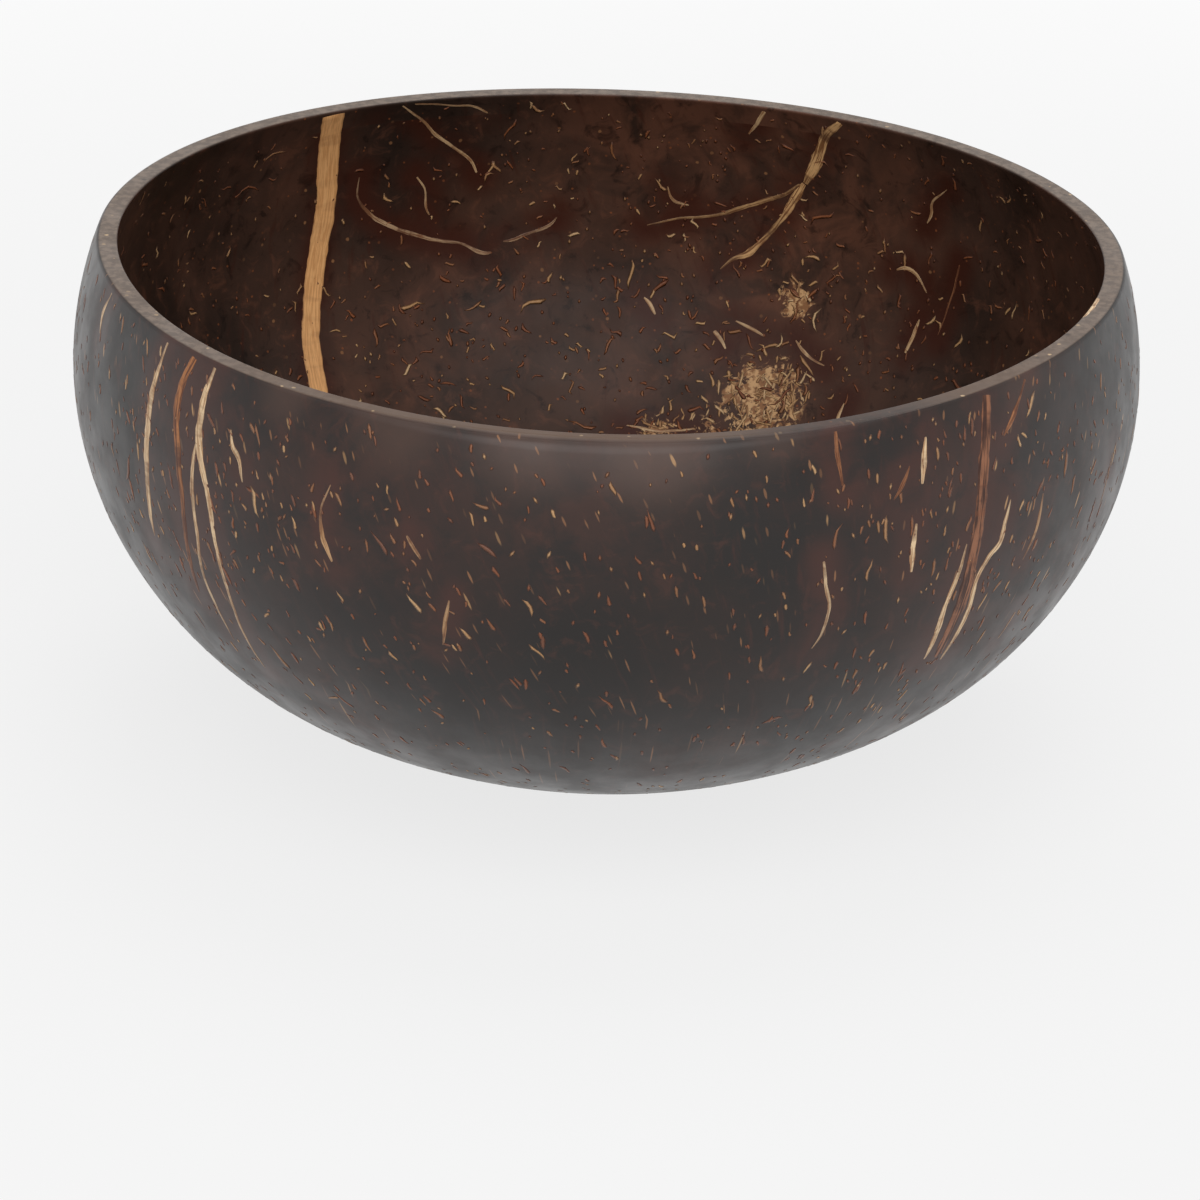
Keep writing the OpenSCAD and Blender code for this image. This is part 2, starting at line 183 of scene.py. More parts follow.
# Each route is a list of (turn, height as a share of BOWL_H, width as a share of the full width)
BAND = [(-144, 0.985, 1.08), (-144.8, 0.79, 1), (-143.4, 0.668, 0.93), (-141.8, 0.57, 0.9),
        (-140.6, 0.496, 0.9), (-139.8, 0.42, 0.85), (-139, 0.36, 0.5)]
FORK = [
    [(151.5, 0.985, 0.8), (153.6, 0.945, 1), (154.8, 0.888, 1.2), (156.6, 0.825, 1)],
    [(156.8, 0.83, 0.5), (159.2, 0.798, 0.4), (163, 0.767, 0.5), (167.4, 0.735, 0.3),
     (171.2, 0.724, 0.25), (176, 0.7, 0.15)],
    [(156.4, 0.835, 0.95), (158.2, 0.776, 0.9), (159.6, 0.735, 0.5), (161, 0.702, 0.55),
     (163, 0.663, 0.75), (164.6, 0.65, 0.4), (166.6, 0.619, 0.2)]]
SAG = [
    [(-149, 0.835, 0.3), (-149, 0.787, 0.35), (-150.4, 0.748, 0.6), (-153.2, 0.713, 0.6),
     (-156.6, 0.687, 0.6), (-159.6, 0.672, 0.5), (-162, 0.664, 0.4), (-164.2, 0.643, 0.6),
     (-166, 0.643, 0.5)],
    [(-166.8, 0.664, 0.3), (-168.4, 0.667, 0.6), (-170.4, 0.681, 0.4), (-172.8, 0.698, 0.5),
     (-173.8, 0.72, 0.3)]]
SHORT_INNER = [
    [(-154, 0.98, 0.4), (-156, 0.953, 0.6), (-158.4, 0.909, 0.7), (-161, 0.873, 0.65),
     (-163, 0.842, 0.7), (-163.9, 0.81, 0.7)],
    [(-160, 0.98, 0.4), (-162.6, 0.974, 0.6), (-164.8, 0.953, 0.6)],
    [(-156.2, 0.82, 0.7), (-157.5, 0.785, 0.4), (-157.6, 0.745, 0.6), (-158.2, 0.723, 0.4)],
    [(175.7, 0.557, 0.5), (174.7, 0.543, 0.9), (173.7, 0.517, 0.5)],
    [(166.4, 0.505, 1.2), (165.2, 0.488, 0.8), (164.1, 0.466, 0.6)],
    [(163.9, 0.527, 0.6), (161.5, 0.516, 0.6), (159.1, 0.501, 0.5)],
    [(155.6, 0.51, 0.4), (154.1, 0.489, 0.8), (152.6, 0.477, 0.5), (150.4, 0.468, 0.4)],
    [(144.1, 0.682, 0.6), (142.8, 0.693, 0.9), (141.2, 0.688, 0.7), (139, 0.65, 0.4)],
    [(139.5, 0.604, 0.4), (139.9, 0.57, 0.9), (140.5, 0.522, 0.8)],
    [(173.4, 0.795, 0.4), (172.6, 0.762, 0.6), (170.2, 0.751, 0.4)],
    [(161.4, 0.98, 0.8), (162, 0.963, 1), (163.6, 0.922, 0.4)],
    [(136.7, 0.896, 0.3), (139.2, 0.854, 0.5), (139.5, 0.826, 0.8), (140.3, 0.795, 0.4)],
    [(135.1, 0.738, 0.6), (135.4, 0.7, 0.5), (136.6, 0.573, 0.3)],
    [(146.4, 0.418, 0.4), (146.5, 0.385, 0.8), (146, 0.35, 0.4)],
    [(177, 0.325, 0.4), (171, 0.32, 0.7), (166, 0.33, 0.4)]]
LEFT_FINE = [
    [(-56.2, 0.97, 0.5), (-56.8, 0.9, 1.1), (-57, 0.825, 1.4), (-57, 0.695, 1.2), (-57.2, 0.63, 0.8),
     (-57.2, 0.586, 0.3)],
    [(-47, 0.98, 0.6), (-47.5, 0.93, 1.2), (-47.4, 0.86, 1.5), (-46.4, 0.798, 1.2), (-45.2, 0.739, 1),
     (-44.6, 0.654, 0.8), (-43.9, 0.55, 0.6), (-43.4, 0.449, 0.5), (-42.4, 0.38, 0.3)],
    [(-47.6, 0.85, 0.6), (-48.1, 0.789, 0.7), (-48, 0.722, 0.8), (-47.7, 0.654, 0.7), (-48, 0.572, 0.6),
     (-47, 0.491, 0.5), (-46.2, 0.423, 0.3)],
    [(-73, 0.975, 0.4), (-73.6, 0.945, 0.9), (-72.8, 0.9, 0.4)]]
LEFT_BROWN = [(-50.8, 0.98, 0.6), (-51.7, 0.93, 0.65), (-51.6, 0.87, 0.7), (-50.7, 0.8, 0.6),
              (-49.9, 0.7, 0.45), (-50.1, 0.6, 0.4), (-50, 0.51, 0.25)]
FRONT = [
    [(-28.6, 0.86, 0.35), (-29.6, 0.8, 0.35), (-29.3, 0.755, 0.75), (-28, 0.7, 0.6)],
    [(-42.7, 0.9, 0.4), (-42, 0.867, 0.8), (-40.8, 0.845, 0.7), (-40, 0.8, 0.4)],
    [(-19.8, 0.795, 0.4), (-18.9, 0.77, 0.55), (-17.9, 0.744, 0.45)],
    [(-15, 0.68, 0.4), (-15.6, 0.62, 0.6), (-16, 0.57, 0.3)],
    [(23.2, 0.76, 0.6), (23.6, 0.708, 0.55), (24.3, 0.655, 0.5), (23.9, 0.605, 0.42), (22.8, 0.565, 0.3)],
    [(25, 0.99, 0.55), (25, 0.95, 0.6), (25.2, 0.92, 0.55), (25.5, 0.885, 0.4)]]
MAIN_BROWN = [(45.6, 0.98, 0.8), (44.6, 0.915, 0.9), (43.8, 0.847, 0.9), (43.2, 0.76, 0.95),
              (42.7, 0.68, 1.05), (42.4, 0.62, 1.05), (41.8, 0.553, 0.95), (41, 0.468, 0.7)]
RIGHT_FINE = [
    [(41.6, 0.727, 0.4), (40.6, 0.65, 0.8), (39.8, 0.606, 0.9), (39.6, 0.56, 1), (39.4, 0.509, 0.8),
     (38.9, 0.475, 0.5)],
    [(48.2, 0.785, 0.4), (47.4, 0.739, 0.8), (46.8, 0.7, 1), (45.2, 0.675, 0.8), (43.9, 0.635, 0.9),
     (43.7, 0.56, 0.9), (43, 0.516, 0.8), (41.9, 0.458, 0.5)],
    [(36.2, 0.955, 0.6), (35.6, 0.908, 0.95), (35.2, 0.86, 0.6)],
    [(34.4, 0.798, 0.6), (34, 0.75, 0.95), (34, 0.69, 0.7)],
    [(33.8, 0.91, 0.3), (32.7, 0.875, 0.6), (31.2, 0.845, 0.3)],
    [(51.3, 0.967, 0.4), (49.2, 0.932, 0.9), (47.2, 0.903, 0.4)],
    [(53.9, 0.768, 0.4), (53.2, 0.69, 0.7), (51.4, 0.632, 0.3)],
    [(54, 0.512, 0.5), (52.6, 0.447, 0.3)],
    [(71, 0.75, 0.4), (69, 0.64, 0.3)]]
BACK = [
    [(136, 0.96, 0.4), (138, 0.84, 0.9), (137, 0.7, 1), (139, 0.57, 0.8), (138, 0.44, 0.3)],
    [(141, 0.9, 0.4), (142, 0.76, 0.8), (143, 0.6, 0.3)],
    [(176, 0.9, 0.4), (174, 0.8, 1), (175, 0.7, 0.9), (173, 0.58, 0.3)],
    [(-158, 0.95, 0.4), (-156, 0.82, 1), (-157, 0.68, 0.8), (-155, 0.5, 0.3)],
    [(-118, 0.86, 0.4), (-116, 0.74, 0.9), (-117, 0.6, 0.3)],
    [(104, 0.8, 0.4), (103, 0.68, 0.9), (104, 0.58, 0.3)]]
BACK_BROWN = [(-150, 0.97, 0.4), (-149, 0.85, 0.8), (-150, 0.72, 0.9), (-148, 0.55, 0.3)]

# Underside routes are lists of (turn, distance from the axis as a share of MID_R, width share)
UNDERSIDE = [
    [(-118, 0.8, 0.4), (-121, 0.64, 1), (-122, 0.47, 0.9), (-128, 0.3, 0.3)],
    [(-104, 0.82, 0.4), (-106, 0.66, 0.9), (-105, 0.52, 0.8), (-110, 0.4, 0.3)],
    [(-92, 0.74, 0.4), (-90, 0.6, 0.9), (-91, 0.48, 0.3)],
    [(158, 0.78, 0.4), (162, 0.62, 0.9), (160, 0.5, 0.4)],
    [(-25, 0.5, 0.4), (-18, 0.45, 0.8), (-14, 0.36, 0.4)],
    [(96, 0.7, 0.3), (99, 0.6, 0.8), (98, 0.48, 0.3)]]
UNDERSIDE_BROWN = [(62, 0.8, 0.3), (58, 0.68, 0.9), (56, 0.55, 0.7), (57, 0.43, 0.2)]


def curve_through(values, spots):
    """A smooth curve through evenly numbered values, read at the given spots."""
    values = np.asarray(values, float)
    padded = np.vstack([2 * values[0] - values[1], values, 2 * values[-1] - values[-2]])
    i = np.clip(np.floor(spots).astype(int), 0, len(values) - 2)
    t = (spots - i)[:, None]
    a, b, c, d = padded[i], padded[i + 1], padded[i + 2], padded[i + 3]
    return 0.5 * (2 * b + (c - a) * t + (2 * a - 5 * b + 4 * c - d) * t**2 + (3 * b - a - 3 * c + d) * t**3)


def follow(skin, route, by_radius=False):
    """Evenly stepped turns, lengths up the section and width shares of a route, and the way so far."""
    route = np.array(route, float)
    if not by_radius and route[0, 1] > AT_RIM:
        step = (RIM_REACH - route[0, 1]) / (route[0, 1] - route[1, 1])
        top = route[0] + step * (route[0] - route[1])
        route = np.vstack([[top[0], RIM_REACH, route[0, 2]], route])
    s = skin.of_radius(route[:, 1] * MID_R) if by_radius else skin.of_height(route[:, 1] * BOWL_H)
    r = skin.at(s)[0]
    steps = np.hypot(np.diff(s), np.diff(np.radians(route[:, 0])) * (r[1:] + r[:-1]) / 2)
    count = max(8, int(steps.sum() / STRAND_STEP))
    along = np.linspace(0, steps.sum(), count + 1)
    spots = np.interp(along, np.r_[0, np.cumsum(steps)], np.arange(len(route)))
    return curve_through(np.stack([route[:, 0], s, route[:, 2]], -1), spots), along


# Modelling by hand

def clear_selection():
    if bpy.context.object and bpy.context.object.mode != "OBJECT":
        bpy.ops.object.mode_set(mode="OBJECT")
    bpy.ops.object.select_all(action="DESELECT")


def pick(*pieces):
    clear_selection()
    for piece in pieces:
        piece.select_set(True)
    bpy.context.view_layer.objects.active = pieces[0]


def add_piece(name, add, **how):
    """Adds one of Blender's own shapes or lamps and names it."""
    clear_selection()
    add(**how)
    piece = bpy.context.object
    piece.name = name
    return piece


def edit_all():
    """Edit mode on the active piece, with all of it selected."""
    bpy.ops.object.mode_set(mode="EDIT")
    bpy.ops.mesh.select_all(action="SELECT")


def turn_faces_out():
    """Points all faces outward and leaves edit mode."""
    bpy.ops.mesh.normals_make_consistent(inside=False)
    bpy.ops.object.mode_set(mode="OBJECT")


def coords(piece):
    found = np.zeros(len(piece.data.vertices) * 3)
    piece.data.vertices.foreach_get("co", found)
    return found.reshape(-1, 3)


def put_coords(piece, points):
    piece.data.vertices.foreach_set("co", np.asarray(points, np.float32).ravel())
    piece.data.update()


def put_numbers(piece, name, values):
    """Keeps a number, or three, with each point for the materials to read."""
    values = np.asarray(values, np.float32)
    kind, word = ("FLOAT_VECTOR", "vector") if values.ndim == 2 else ("FLOAT", "value")
    piece.data.attributes.new(name, kind, "POINT").data.foreach_set(word, values.ravel())


def start_outline(name, x, z):
    """One point in the XZ plane, ready to be drawn on."""
    piece = add_piece(name, bpy.ops.mesh.primitive_plane_add, size=WALL)
    piece.data.name = name
    edit_all()
    bpy.ops.mesh.merge(type="CENTER")
    bpy.ops.transform.translate(value=(x, 0, z))
    return piece


def draw_line(start, end, steps=1):
    for _ in range(steps):
        bpy.ops.mesh.extrude_region_move(TRANSFORM_OT_translate={
            "value": ((end[0] - start[0]) / steps, 0, (end[1] - start[1]) / steps)})


def draw_arc(centre_x, centre_z, angle, steps):
    """Turns the last point about a centre; a positive angle goes up the outside of the section."""
    bpy.ops.mesh.spin(steps=steps, angle=angle, center=(centre_x, 0, centre_z), axis=(0, 1, 0))


def spin_round():
    """The section turned about the upright axis into a closed piece."""
    bpy.ops.mesh.select_all(action="SELECT")
    bpy.ops.mesh.spin(steps=STEPS_ROUND, angle=2 * math.pi, center=(0, 0, 0), axis=(0, 0, 1))
    bpy.ops.mesh.select_all(action="SELECT")
    bpy.ops.mesh.remove_doubles(threshold=MM / 1000)
    turn_faces_out()


def flank_angle(skin, z):
    return math.acos((MID_Z - z) / skin.flank_r)


def draw_skin(name, skin):
    """Half of the wall: its skin, and a plain back in the middle of the wall."""
    top = flank_angle(skin, BOWL_H - RING_H)
    foot = math.acos(min(1, (skin.bottom_z - skin.low_z) / skin.bottom_r))
    depth = -OUTER_BACK if skin.side > 0 else INNER_BACK
    piece = start_outline(name, 0, skin.low_z)
    if foot > 0.01:
        draw_line((0, skin.low_z), (skin.bottom_r * math.sin(foot), skin.low_z), BACK_STEPS)
        draw_arc(0, skin.bottom_z, skin.joint - foot, BOTTOM_STEPS)
    else:
        draw_arc(0, skin.bottom_z, skin.joint, BOTTOM_STEPS + BACK_STEPS)
    draw_arc(skin.flank_x, MID_Z, top - skin.joint, FLANK_STEPS)
    draw_line((0, 0), (depth * math.sin(top), -depth * math.cos(top)))
    draw_arc(skin.flank_x, MID_Z, skin.joint - top, BACK_STEPS)
    draw_arc(0, skin.bottom_z, -skin.joint, BACK_STEPS)
    spin_round()
    return piece


def finish_shape(piece, angle=35):
    """Lays the piece on the shell as it grew and smooths its shading, edges apart."""
    put_coords(piece, as_grown(coords(piece)))
    pick(piece)
    bpy.ops.object.shade_smooth_by_angle(angle=math.radians(angle))


# The fibres run from the rim to the middle of the foot. They stand upright at one turn and lean
# away from it on both sides, as far as the curve of the wall allows
GRAIN_STRETCH = 0.22
GRAIN_SLOPE = 0.8
GRAIN_POLE = 20 * MM
UPRIGHT_TURN = 28
FIBRE_LEAN = math.radians(24)
LEAN_SWING = 2.2
LEAN_DROP = 0.35
HALO_REACH = 4.5 * MM


def fibre_lean(turn):
    return FIBRE_LEAN * np.clip(LEAN_SWING * np.sin(np.radians(turn - UPRIGHT_TURN)), -1, 1)


def mark_grain(piece):
    """Coordinates along the fibres."""
    points = coords(piece)
    angle, r = angle_and_radius(points)
    drop = np.clip((points[:, 2] - MID_Z) / np.maximum(r, MM), -LEAN_DROP, LEAN_DROP)
    angle = angle - np.tan(fibre_lean(np.degrees(angle))) * drop
    along = GRAIN_STRETCH * (points[:, 2] - GRAIN_SLOPE * r)
    put_numbers(piece, "grain", ring_points(angle, MID_R * np.tanh(r / GRAIN_POLE), along))


def mark_halo(piece, skin, routes, under_routes=()):
    """How near each point is to a strand, from 0 to 1: the shell is redder there."""
    lines = [follow(skin, route)[0] for route in routes]
    line = np.vstack(lines + [follow(skin, route, True)[0] for route in under_routes])
    r, z = skin.at(line[:, 1])[:2]
    tree = KDTree(len(line))
    for i, point in enumerate(ring_points(np.radians(line[:, 0]), r, z)):
        tree.insert(point, i)
    tree.balance()
    away = np.array([tree.find(point)[2] for point in coords(piece)])
    put_numbers(piece, "halo", 1 - smooth(0.1, 1, away / HALO_REACH))


def outer_ease(turn):
    """Rounding of the rim's outer edge at a turn."""
    front = 1 - smooth(0, FRONT_EASE_TURN, np.abs(turn + 2))
    return SIDE_EASE + (FRONT_EASE - SIDE_EASE) * front


def rounded_corner(down, inward, ease):
    """Moves a point near a square edge onto the rounding of that edge."""
    a = np.minimum(down - ease, 0)
    b = np.minimum(inward - ease, 0)
    near = (a < 0) & (b < 0)
    scale = np.where(near, ease / np.maximum(np.hypot(a, b), MM / 1000), 1)
    return np.where(near, ease + a * scale, down), np.where(near, ease + b * scale, inward)


def ease_rim(points):
    """Rounds both edges of the cut rim, and says how much of the cut face shows at each point."""
    angle, r = angle_and_radius(points)
    down = BOWL_H - points[:, 2]
    outer_r, inner_r = OUTSIDE.radius_at(points[:, 2]), INSIDE.radius_at(points[:, 2])
    ease = outer_ease(np.degrees(angle))
    from_out, from_in = outer_r - r, r - inner_r
    on_top = down < MM / 10
    cut = smooth(0.2, 0.95, from_out / ease) * smooth(0.1, 0.9, from_in / INNER_EASE) * on_top
    down_out, in_out = rounded_corner(down, from_out, ease)
    down_in, in_in = rounded_corner(down, from_in, INNER_EASE)
    outside = from_out < ease * 1.001
    new_z = BOWL_H - np.where(outside, down_out, down_in)
    new_outer, new_inner = OUTSIDE.radius_at(new_z), INSIDE.radius_at(new_z)
    new_r = np.where(outside, new_outer - in_out, new_inner + in_in)
    low_outside = (r > (outer_r + inner_r) / 2) & ~outside & (down > MM / 10)
    new_r = np.where(low_outside, new_outer - from_out, new_r)
    return ring_points(angle, new_r, new_z), cut


TOP_STEPS = 26
RING_STEPS = 22


def make_rim():
    """The cut ring at the top of the wall. Its two sides keep the finish of the skin that they
    continue."""
    low_z = BOWL_H - RING_H
    outer_low, inner_low = flank_angle(OUTSIDE, low_z), flank_angle(INSIDE, low_z)
    low_outer_r, low_inner_r = OUTSIDE.radius_at(low_z), INSIDE.radius_at(low_z)
    piece = start_outline("shell_rim", low_outer_r, low_z)
    draw_arc(OUTSIDE.flank_x, MID_Z, flank_angle(OUTSIDE, BOWL_H) - outer_low, RING_STEPS)
    draw_line((OUTSIDE.radius_at(BOWL_H), BOWL_H), (INSIDE.radius_at(BOWL_H), BOWL_H), TOP_STEPS)
    draw_arc(INSIDE.flank_x, MID_Z, inner_low - flank_angle(INSIDE, BOWL_H), RING_STEPS)
    draw_line((low_inner_r, low_z), (low_outer_r, low_z))
    spin_round()
    mark_grain(piece)
    mark_halo(piece, OUTSIDE, OUTER_ROUTES)
    points = coords(piece)
    angle, r = angle_and_radius(points)
    turn = np.degrees(angle)
    inner_side = r < (OUTSIDE.radius_at(points[:, 2]) + INSIDE.radius_at(points[:, 2])) / 2
    eased, cut = ease_rim(points)
    rubbed = 1 - smooth(*RUBBED_REACH, np.abs(turn - RUBBED_TURN))
    cut = np.float32(cut * (1 - RUBBED_SHARE * rubbed))
    put_coords(piece, eased)
    put_numbers(piece, "cut", cut)
    put_numbers(piece, "inner_side", inner_side)
    put_numbers(piece, "worn", 1 - smooth(*WORN_REACH, np.abs(turn - WORN_TURN)))
    finish_shape(piece, 60)
    for finish in (RIM_FINISH, OUTER_FINISH, INNER_FINISH):
        piece.data.materials.append(finish)
    for face in piece.data.polygons:
        corners = list(face.vertices)
        if cut[corners].max() == 0:
            face.material_index = 2 if inner_side[corners].mean() > 0.5 else 1
    hand_in(piece, "polished_shell", "shell")


# Materials

NEAR_BLACK = (0.0075, 0.0048, 0.0038)
DARK_BROWN = (0.0155, 0.0072, 0.0048)
INNER_DARK = (0.025, 0.015, 0.011)
INNER_BROWN = (0.06, 0.031, 0.0215)
RED_BROWN = (0.058, 0.0195, 0.0115)
INNER_RED = (0.122, 0.05, 0.03)
# Wear below the rim, which at the front also paints the soft highlight that falls there
WEAR_AND_SHEEN_BROWN = (0.105, 0.0560, 0.0400)
DEEP_RED = (0.048, 0.0135, 0.0078)
CUT_TAUPE = (0.195, 0.142, 0.106)
CUT_DARK = (0.112, 0.079, 0.058)
CUT_WORN = (0.1, 0.051, 0.026)
CREAM = (0.66, 0.46, 0.26)
PATCH_TAN = (0.62, 0.37, 0.18)
PALE_TAN = (0.48, 0.27, 0.12)
TAN_BROWN = (0.27, 0.125, 0.055)
RUSSET = (0.22, 0.070, 0.026)
DULL_TAUPE = (0.150, 0.095, 0.068)
DIM_BROWN = (0.115, 0.050, 0.030)


def rgba(colour):
    return (*colour, 1)


class Nodes:
    """The node tree of one material, or of the world."""

    def __init__(self, owner, end="OutputMaterial"):
        owner.use_nodes = True
        self.owner = owner
        self.tree = owner.node_tree
        self.tree.nodes.clear()
        self.out = self.add(end)

    def link(self, value, socket):
        if isinstance(value, bpy.types.NodeSocket):
            self.tree.links.new(value, socket)
        else:
            socket.default_value = value

    def add(self, kind, settings=None, **inputs):
        made = self.tree.nodes.new("ShaderNode" + kind)
        for name, value in (settings or {}).items():
            setattr(made, name, value)
        for name, value in inputs.items():
            self.link(value, made.inputs[name.replace("_", " ")])
        return made

    def math(self, operation, a, b, clamp=False):
        made = self.add("Math", {"operation": operation, "use_clamp": clamp})
        self.link(a, made.inputs[0])
        self.link(b, made.inputs[1])
        return made.outputs[0]

    def times(self, a, b, clamp=False):
        return self.math("MULTIPLY", a, b, clamp)

    def plus(self, a, b):
        return self.math("ADD", a, b)

    def mix(self, share, a, b):
        """Colour a, turned into colour b by a share."""
        made = self.add("Mix", {"data_type": "RGBA"})
        for index, value in ((0, share), (6, a), (7, b)):
            self.link(rgba(value) if isinstance(value, tuple) else value, made.inputs[index])
        return made.outputs[2]

    def between(self, value, low, high, to_low=0.0, to_high=1.0):
        """value from low to high, made a soft step from to_low to to_high."""
        return self.add("MapRange", {"interpolation_type": "SMOOTHSTEP"}, Value=value, From_Min=low,
                        From_Max=high, To_Min=to_low, To_Max=to_high).outputs[0]

    def read(self, name, output="Vector"):
        return self.add("Attribute", {"attribute_name": name}).outputs[output]

    def own(self):
        return self.add("TexCoord").outputs["Object"]

    def scaled(self, vector, scale, shift=(0, 0, 0)):
        return self.add("Mapping", Vector=vector, Scale=scale, Location=shift).outputs[0]

    def noise(self, vector, scale, detail=3.0, roughness=0.5, distortion=0.0):
        return self.add("TexNoise", Vector=vector, Scale=scale, Detail=detail, Roughness=roughness,
                        Distortion=distortion).outputs[0]

    def distance(self, vector, spot=(0, 0, 0)):
        away = self.add("VectorMath", {"operation": "DISTANCE"})
        self.link(vector, away.inputs[0])
        away.inputs[1].default_value = tuple(spot)
        return away.outputs["Value"]

    def seen_directly(self):
        """1 for what the camera sees, also in a mirror or through glass."""
        path = self.add("LightPath").outputs
        seen = self.math("MAXIMUM", path["Is Camera Ray"], path["Is Glossy Ray"])
        return self.math("MAXIMUM", seen, path["Is Transmission Ray"])

    def mixed_shader(self, share, first, second):
        made = self.add("MixShader", Fac=share)
        self.link(first.outputs[0], made.inputs[1])
        self.link(second.outputs[0], made.inputs[2])
        return made

    def polish(self, colour, rough, shine, height, strength, depth):
        """Closes a polished material over a fine relief, whose depth is in mm."""
        bump = self.add("Bump", Strength=strength, Distance=depth * MM, Height=height)
        shader = self.add("BsdfPrincipled", Base_Color=colour, Roughness=rough, Normal=bump.outputs[0])
        shader.inputs["Specular IOR Level"].default_value = shine
        return self.close(shader)

    def close(self, shader):
        self.link(shader.outputs[0], self.out.inputs["Surface"])
        return self.owner


def new_finish(name):
    return Nodes(bpy.data.materials.new(name))


# Red-brown stains in the skins: turn, share of the height, radius in mm and strength
OUTER_STAINS = [(-50, 0.85, 16, 0.55), (-53, 0.60, 13, 0.45), (-28, 0.86, 24, 0.45),
                (-4, 0.90, 20, 0.45), (44, 0.85, 12, 0.35), (43, 0.55, 12, 0.35),
                (-32, 0.35, 18, 0.35), (12, 0.30, 15, 0.35), (150, 0.7, 26, 0.5),
                (-150, 0.6, 24, 0.5), (100, 0.5, 26, 0.4), (-100, 0.7, 22, 0.5)]
INNER_STAINS = [(170, 0.92, 30, 0.85), (150, 0.86, 20, 0.60), (-165, 0.62, 20, 0.40),
                (-140, 0.9, 16, 0.35), (158, 0.62, 18, 0.45), (168, 0.45, 24, 0.35),
                (-150, 0.35, 20, 0.35), (120, 0.7, 18, 0.35), (0, 0.6, 30, 0.4),
                (60, 0.4, 26, 0.35), (-70, 0.5, 24, 0.35)]
# Where hands have worn the shell below the rim. At the front this lighter brown is also a painted highlight,
# the soft sheen just under the rim
WEAR_AND_SHEEN_SPOTS = [(-36, 0.995, 6, 0.35), (-22, 0.99, 9, 0.42), (-8, 0.99, 10, 0.45),
               (5, 0.99, 11, 0.55), (18, 0.995, 6, 0.3), (52, 0.995, 7, 0.25),
               (150, 0.99, 9, 0.3), (-140, 0.99, 8, 0.3)]
# Where the fibre patches lie
BLOTCHES = [(158, 0.395, 8.6, 1.0), (156.4, 0.583, 3.8, 1.0), (171.5, 0.315, 4.6, 0.8),
            (165, 0.33, 3.0, 0.6)]
# Each skin's own shift of the clouds, and how much of the light each surface throws back
OUTER_SEED, INNER_SEED = 0.31, 2.01
SHINE = {"outer": 0.44, "inner": 0.13, "rim": 0.28}


def stains(n, own, places, skin):
    """Soft round patches: how much of them there is at a point."""
    total = 0.0
    for turn, height_share, radius, amount in places:
        spot = place(skin, turn, skin.of_height(height_share * BOWL_H), 0)
        away = n.distance(own, spot)
        total = n.plus(total, n.between(away, radius * MM, 0.15 * radius * MM, 0.0, amount))
    return total


def shell_colour(n, own, grain, places, skin, seed, tones):
    """Colour of one skin: brown clouds, red stains, darker pits and fine fibres."""
    dark, brown, red_tone = tones
    shifted = n.scaled(own, (1, 1, 1), (seed, seed, 0))
    colour = n.mix(n.between(n.noise(shifted, 42.0, 5.0, 0.55, 0.5), 0.36, 0.66), dark, brown)
    patchy = n.noise(shifted, 105.0, 4.0, 0.62, 0.9)
    broad = n.between(n.noise(shifted, 24.0, 3.0), 0.50, 0.74, 0.0, 0.4)
    red = n.plus(stains(n, own, places, skin), broad)
    red = n.times(red, n.between(patchy, 0.34, 0.60, 0.12, 1.0), clamp=True)
    colour = n.mix(red, colour, red_tone)
    mottle = n.noise(shifted, 300.0, 4.0, 0.65, 0.7)
    colour = n.mix(n.between(mottle, 0.53, 0.72, 0.0, 0.55), colour, red_tone)
    colour = n.mix(n.between(mottle, 0.46, 0.30, 0.0, 0.6), colour, NEAR_BLACK)
    halo = n.times(n.read("halo", "Fac"), n.between(patchy, 0.30, 0.58, 0.25, 0.95))
    colour = n.mix(halo, colour, DEEP_RED)
    fibres = n.noise(grain, 820.0, 3.0, 0.6)
    return n.mix(n.between(fibres, 0.55, 0.78, 0.0, 0.55), colour, DEEP_RED), fibres


def specks(n, colour, vector, scale, size, share, tint):
    """Tiny dots, each a cell of its own. share says in how many cells one shows."""
    cells = n.add("TexVoronoi", Vector=vector, Scale=scale, Randomness=1.0)
    chance = n.add("SeparateColor", Color=cells.outputs["Color"])
    shown = n.math("LESS_THAN", chance.outputs[0], share)
    wander = n.times(n.noise(vector, 2.6 * scale, 2.0), 0.9 * size)
    dot = n.between(n.plus(cells.outputs["Distance"], wander), 1.35 * size, 0.95 * size)
    return n.mix(n.times(n.times(shown, dot), n.times(chance.outputs[1], 0.9)), colour, tint)


def outer_colour(n, own, grain):
    tones = (NEAR_BLACK, DARK_BROWN, RED_BROWN)
    colour, fibres = shell_colour(n, own, grain, OUTER_STAINS, OUTSIDE, OUTER_SEED, tones)
    # Lighter brown of wear under the rim, and at the front a painted highlight
    colour = n.mix(stains(n, own, WEAR_AND_SHEEN_SPOTS, OUTSIDE), colour, WEAR_AND_SHEEN_BROWN)
    colour = specks(n, colour, grain, 820.0, 0.22, 0.16, PALE_TAN)
    return specks(n, colour, grain, 1150.0, 0.24, 0.34, TAN_BROWN), fibres


def inner_colour(n, own, grain):
    """The inner skin, with the tan ground of the fibre patches."""
    tones = (INNER_DARK, INNER_BROWN, INNER_RED)
    colour, fibres = shell_colour(n, own, grain, INNER_STAINS, INSIDE, INNER_SEED, tones)
    colour = specks(n, colour, own, 520.0, 0.18, 0.20, TAN_BROWN)
    colour = specks(n, colour, own, 900.0, 0.22, 0.28, RUSSET)
    near = n.times(stains(n, own, BLOTCHES, INSIDE), 1.0, clamp=True)
    ragged = n.plus(n.noise(own, 560.0, 5.0, 0.68, 1.6), n.times(near, 0.22))
    blotch = n.times(n.between(ragged, 0.60, 0.68), n.between(near, 0.05, 0.40))
    shade = n.mix(n.between(n.noise(own, 1300.0, 3.0), 0.40, 0.60), TAN_BROWN, PATCH_TAN)
    return n.mix(n.times(blotch, 0.95), colour, shade), fibres


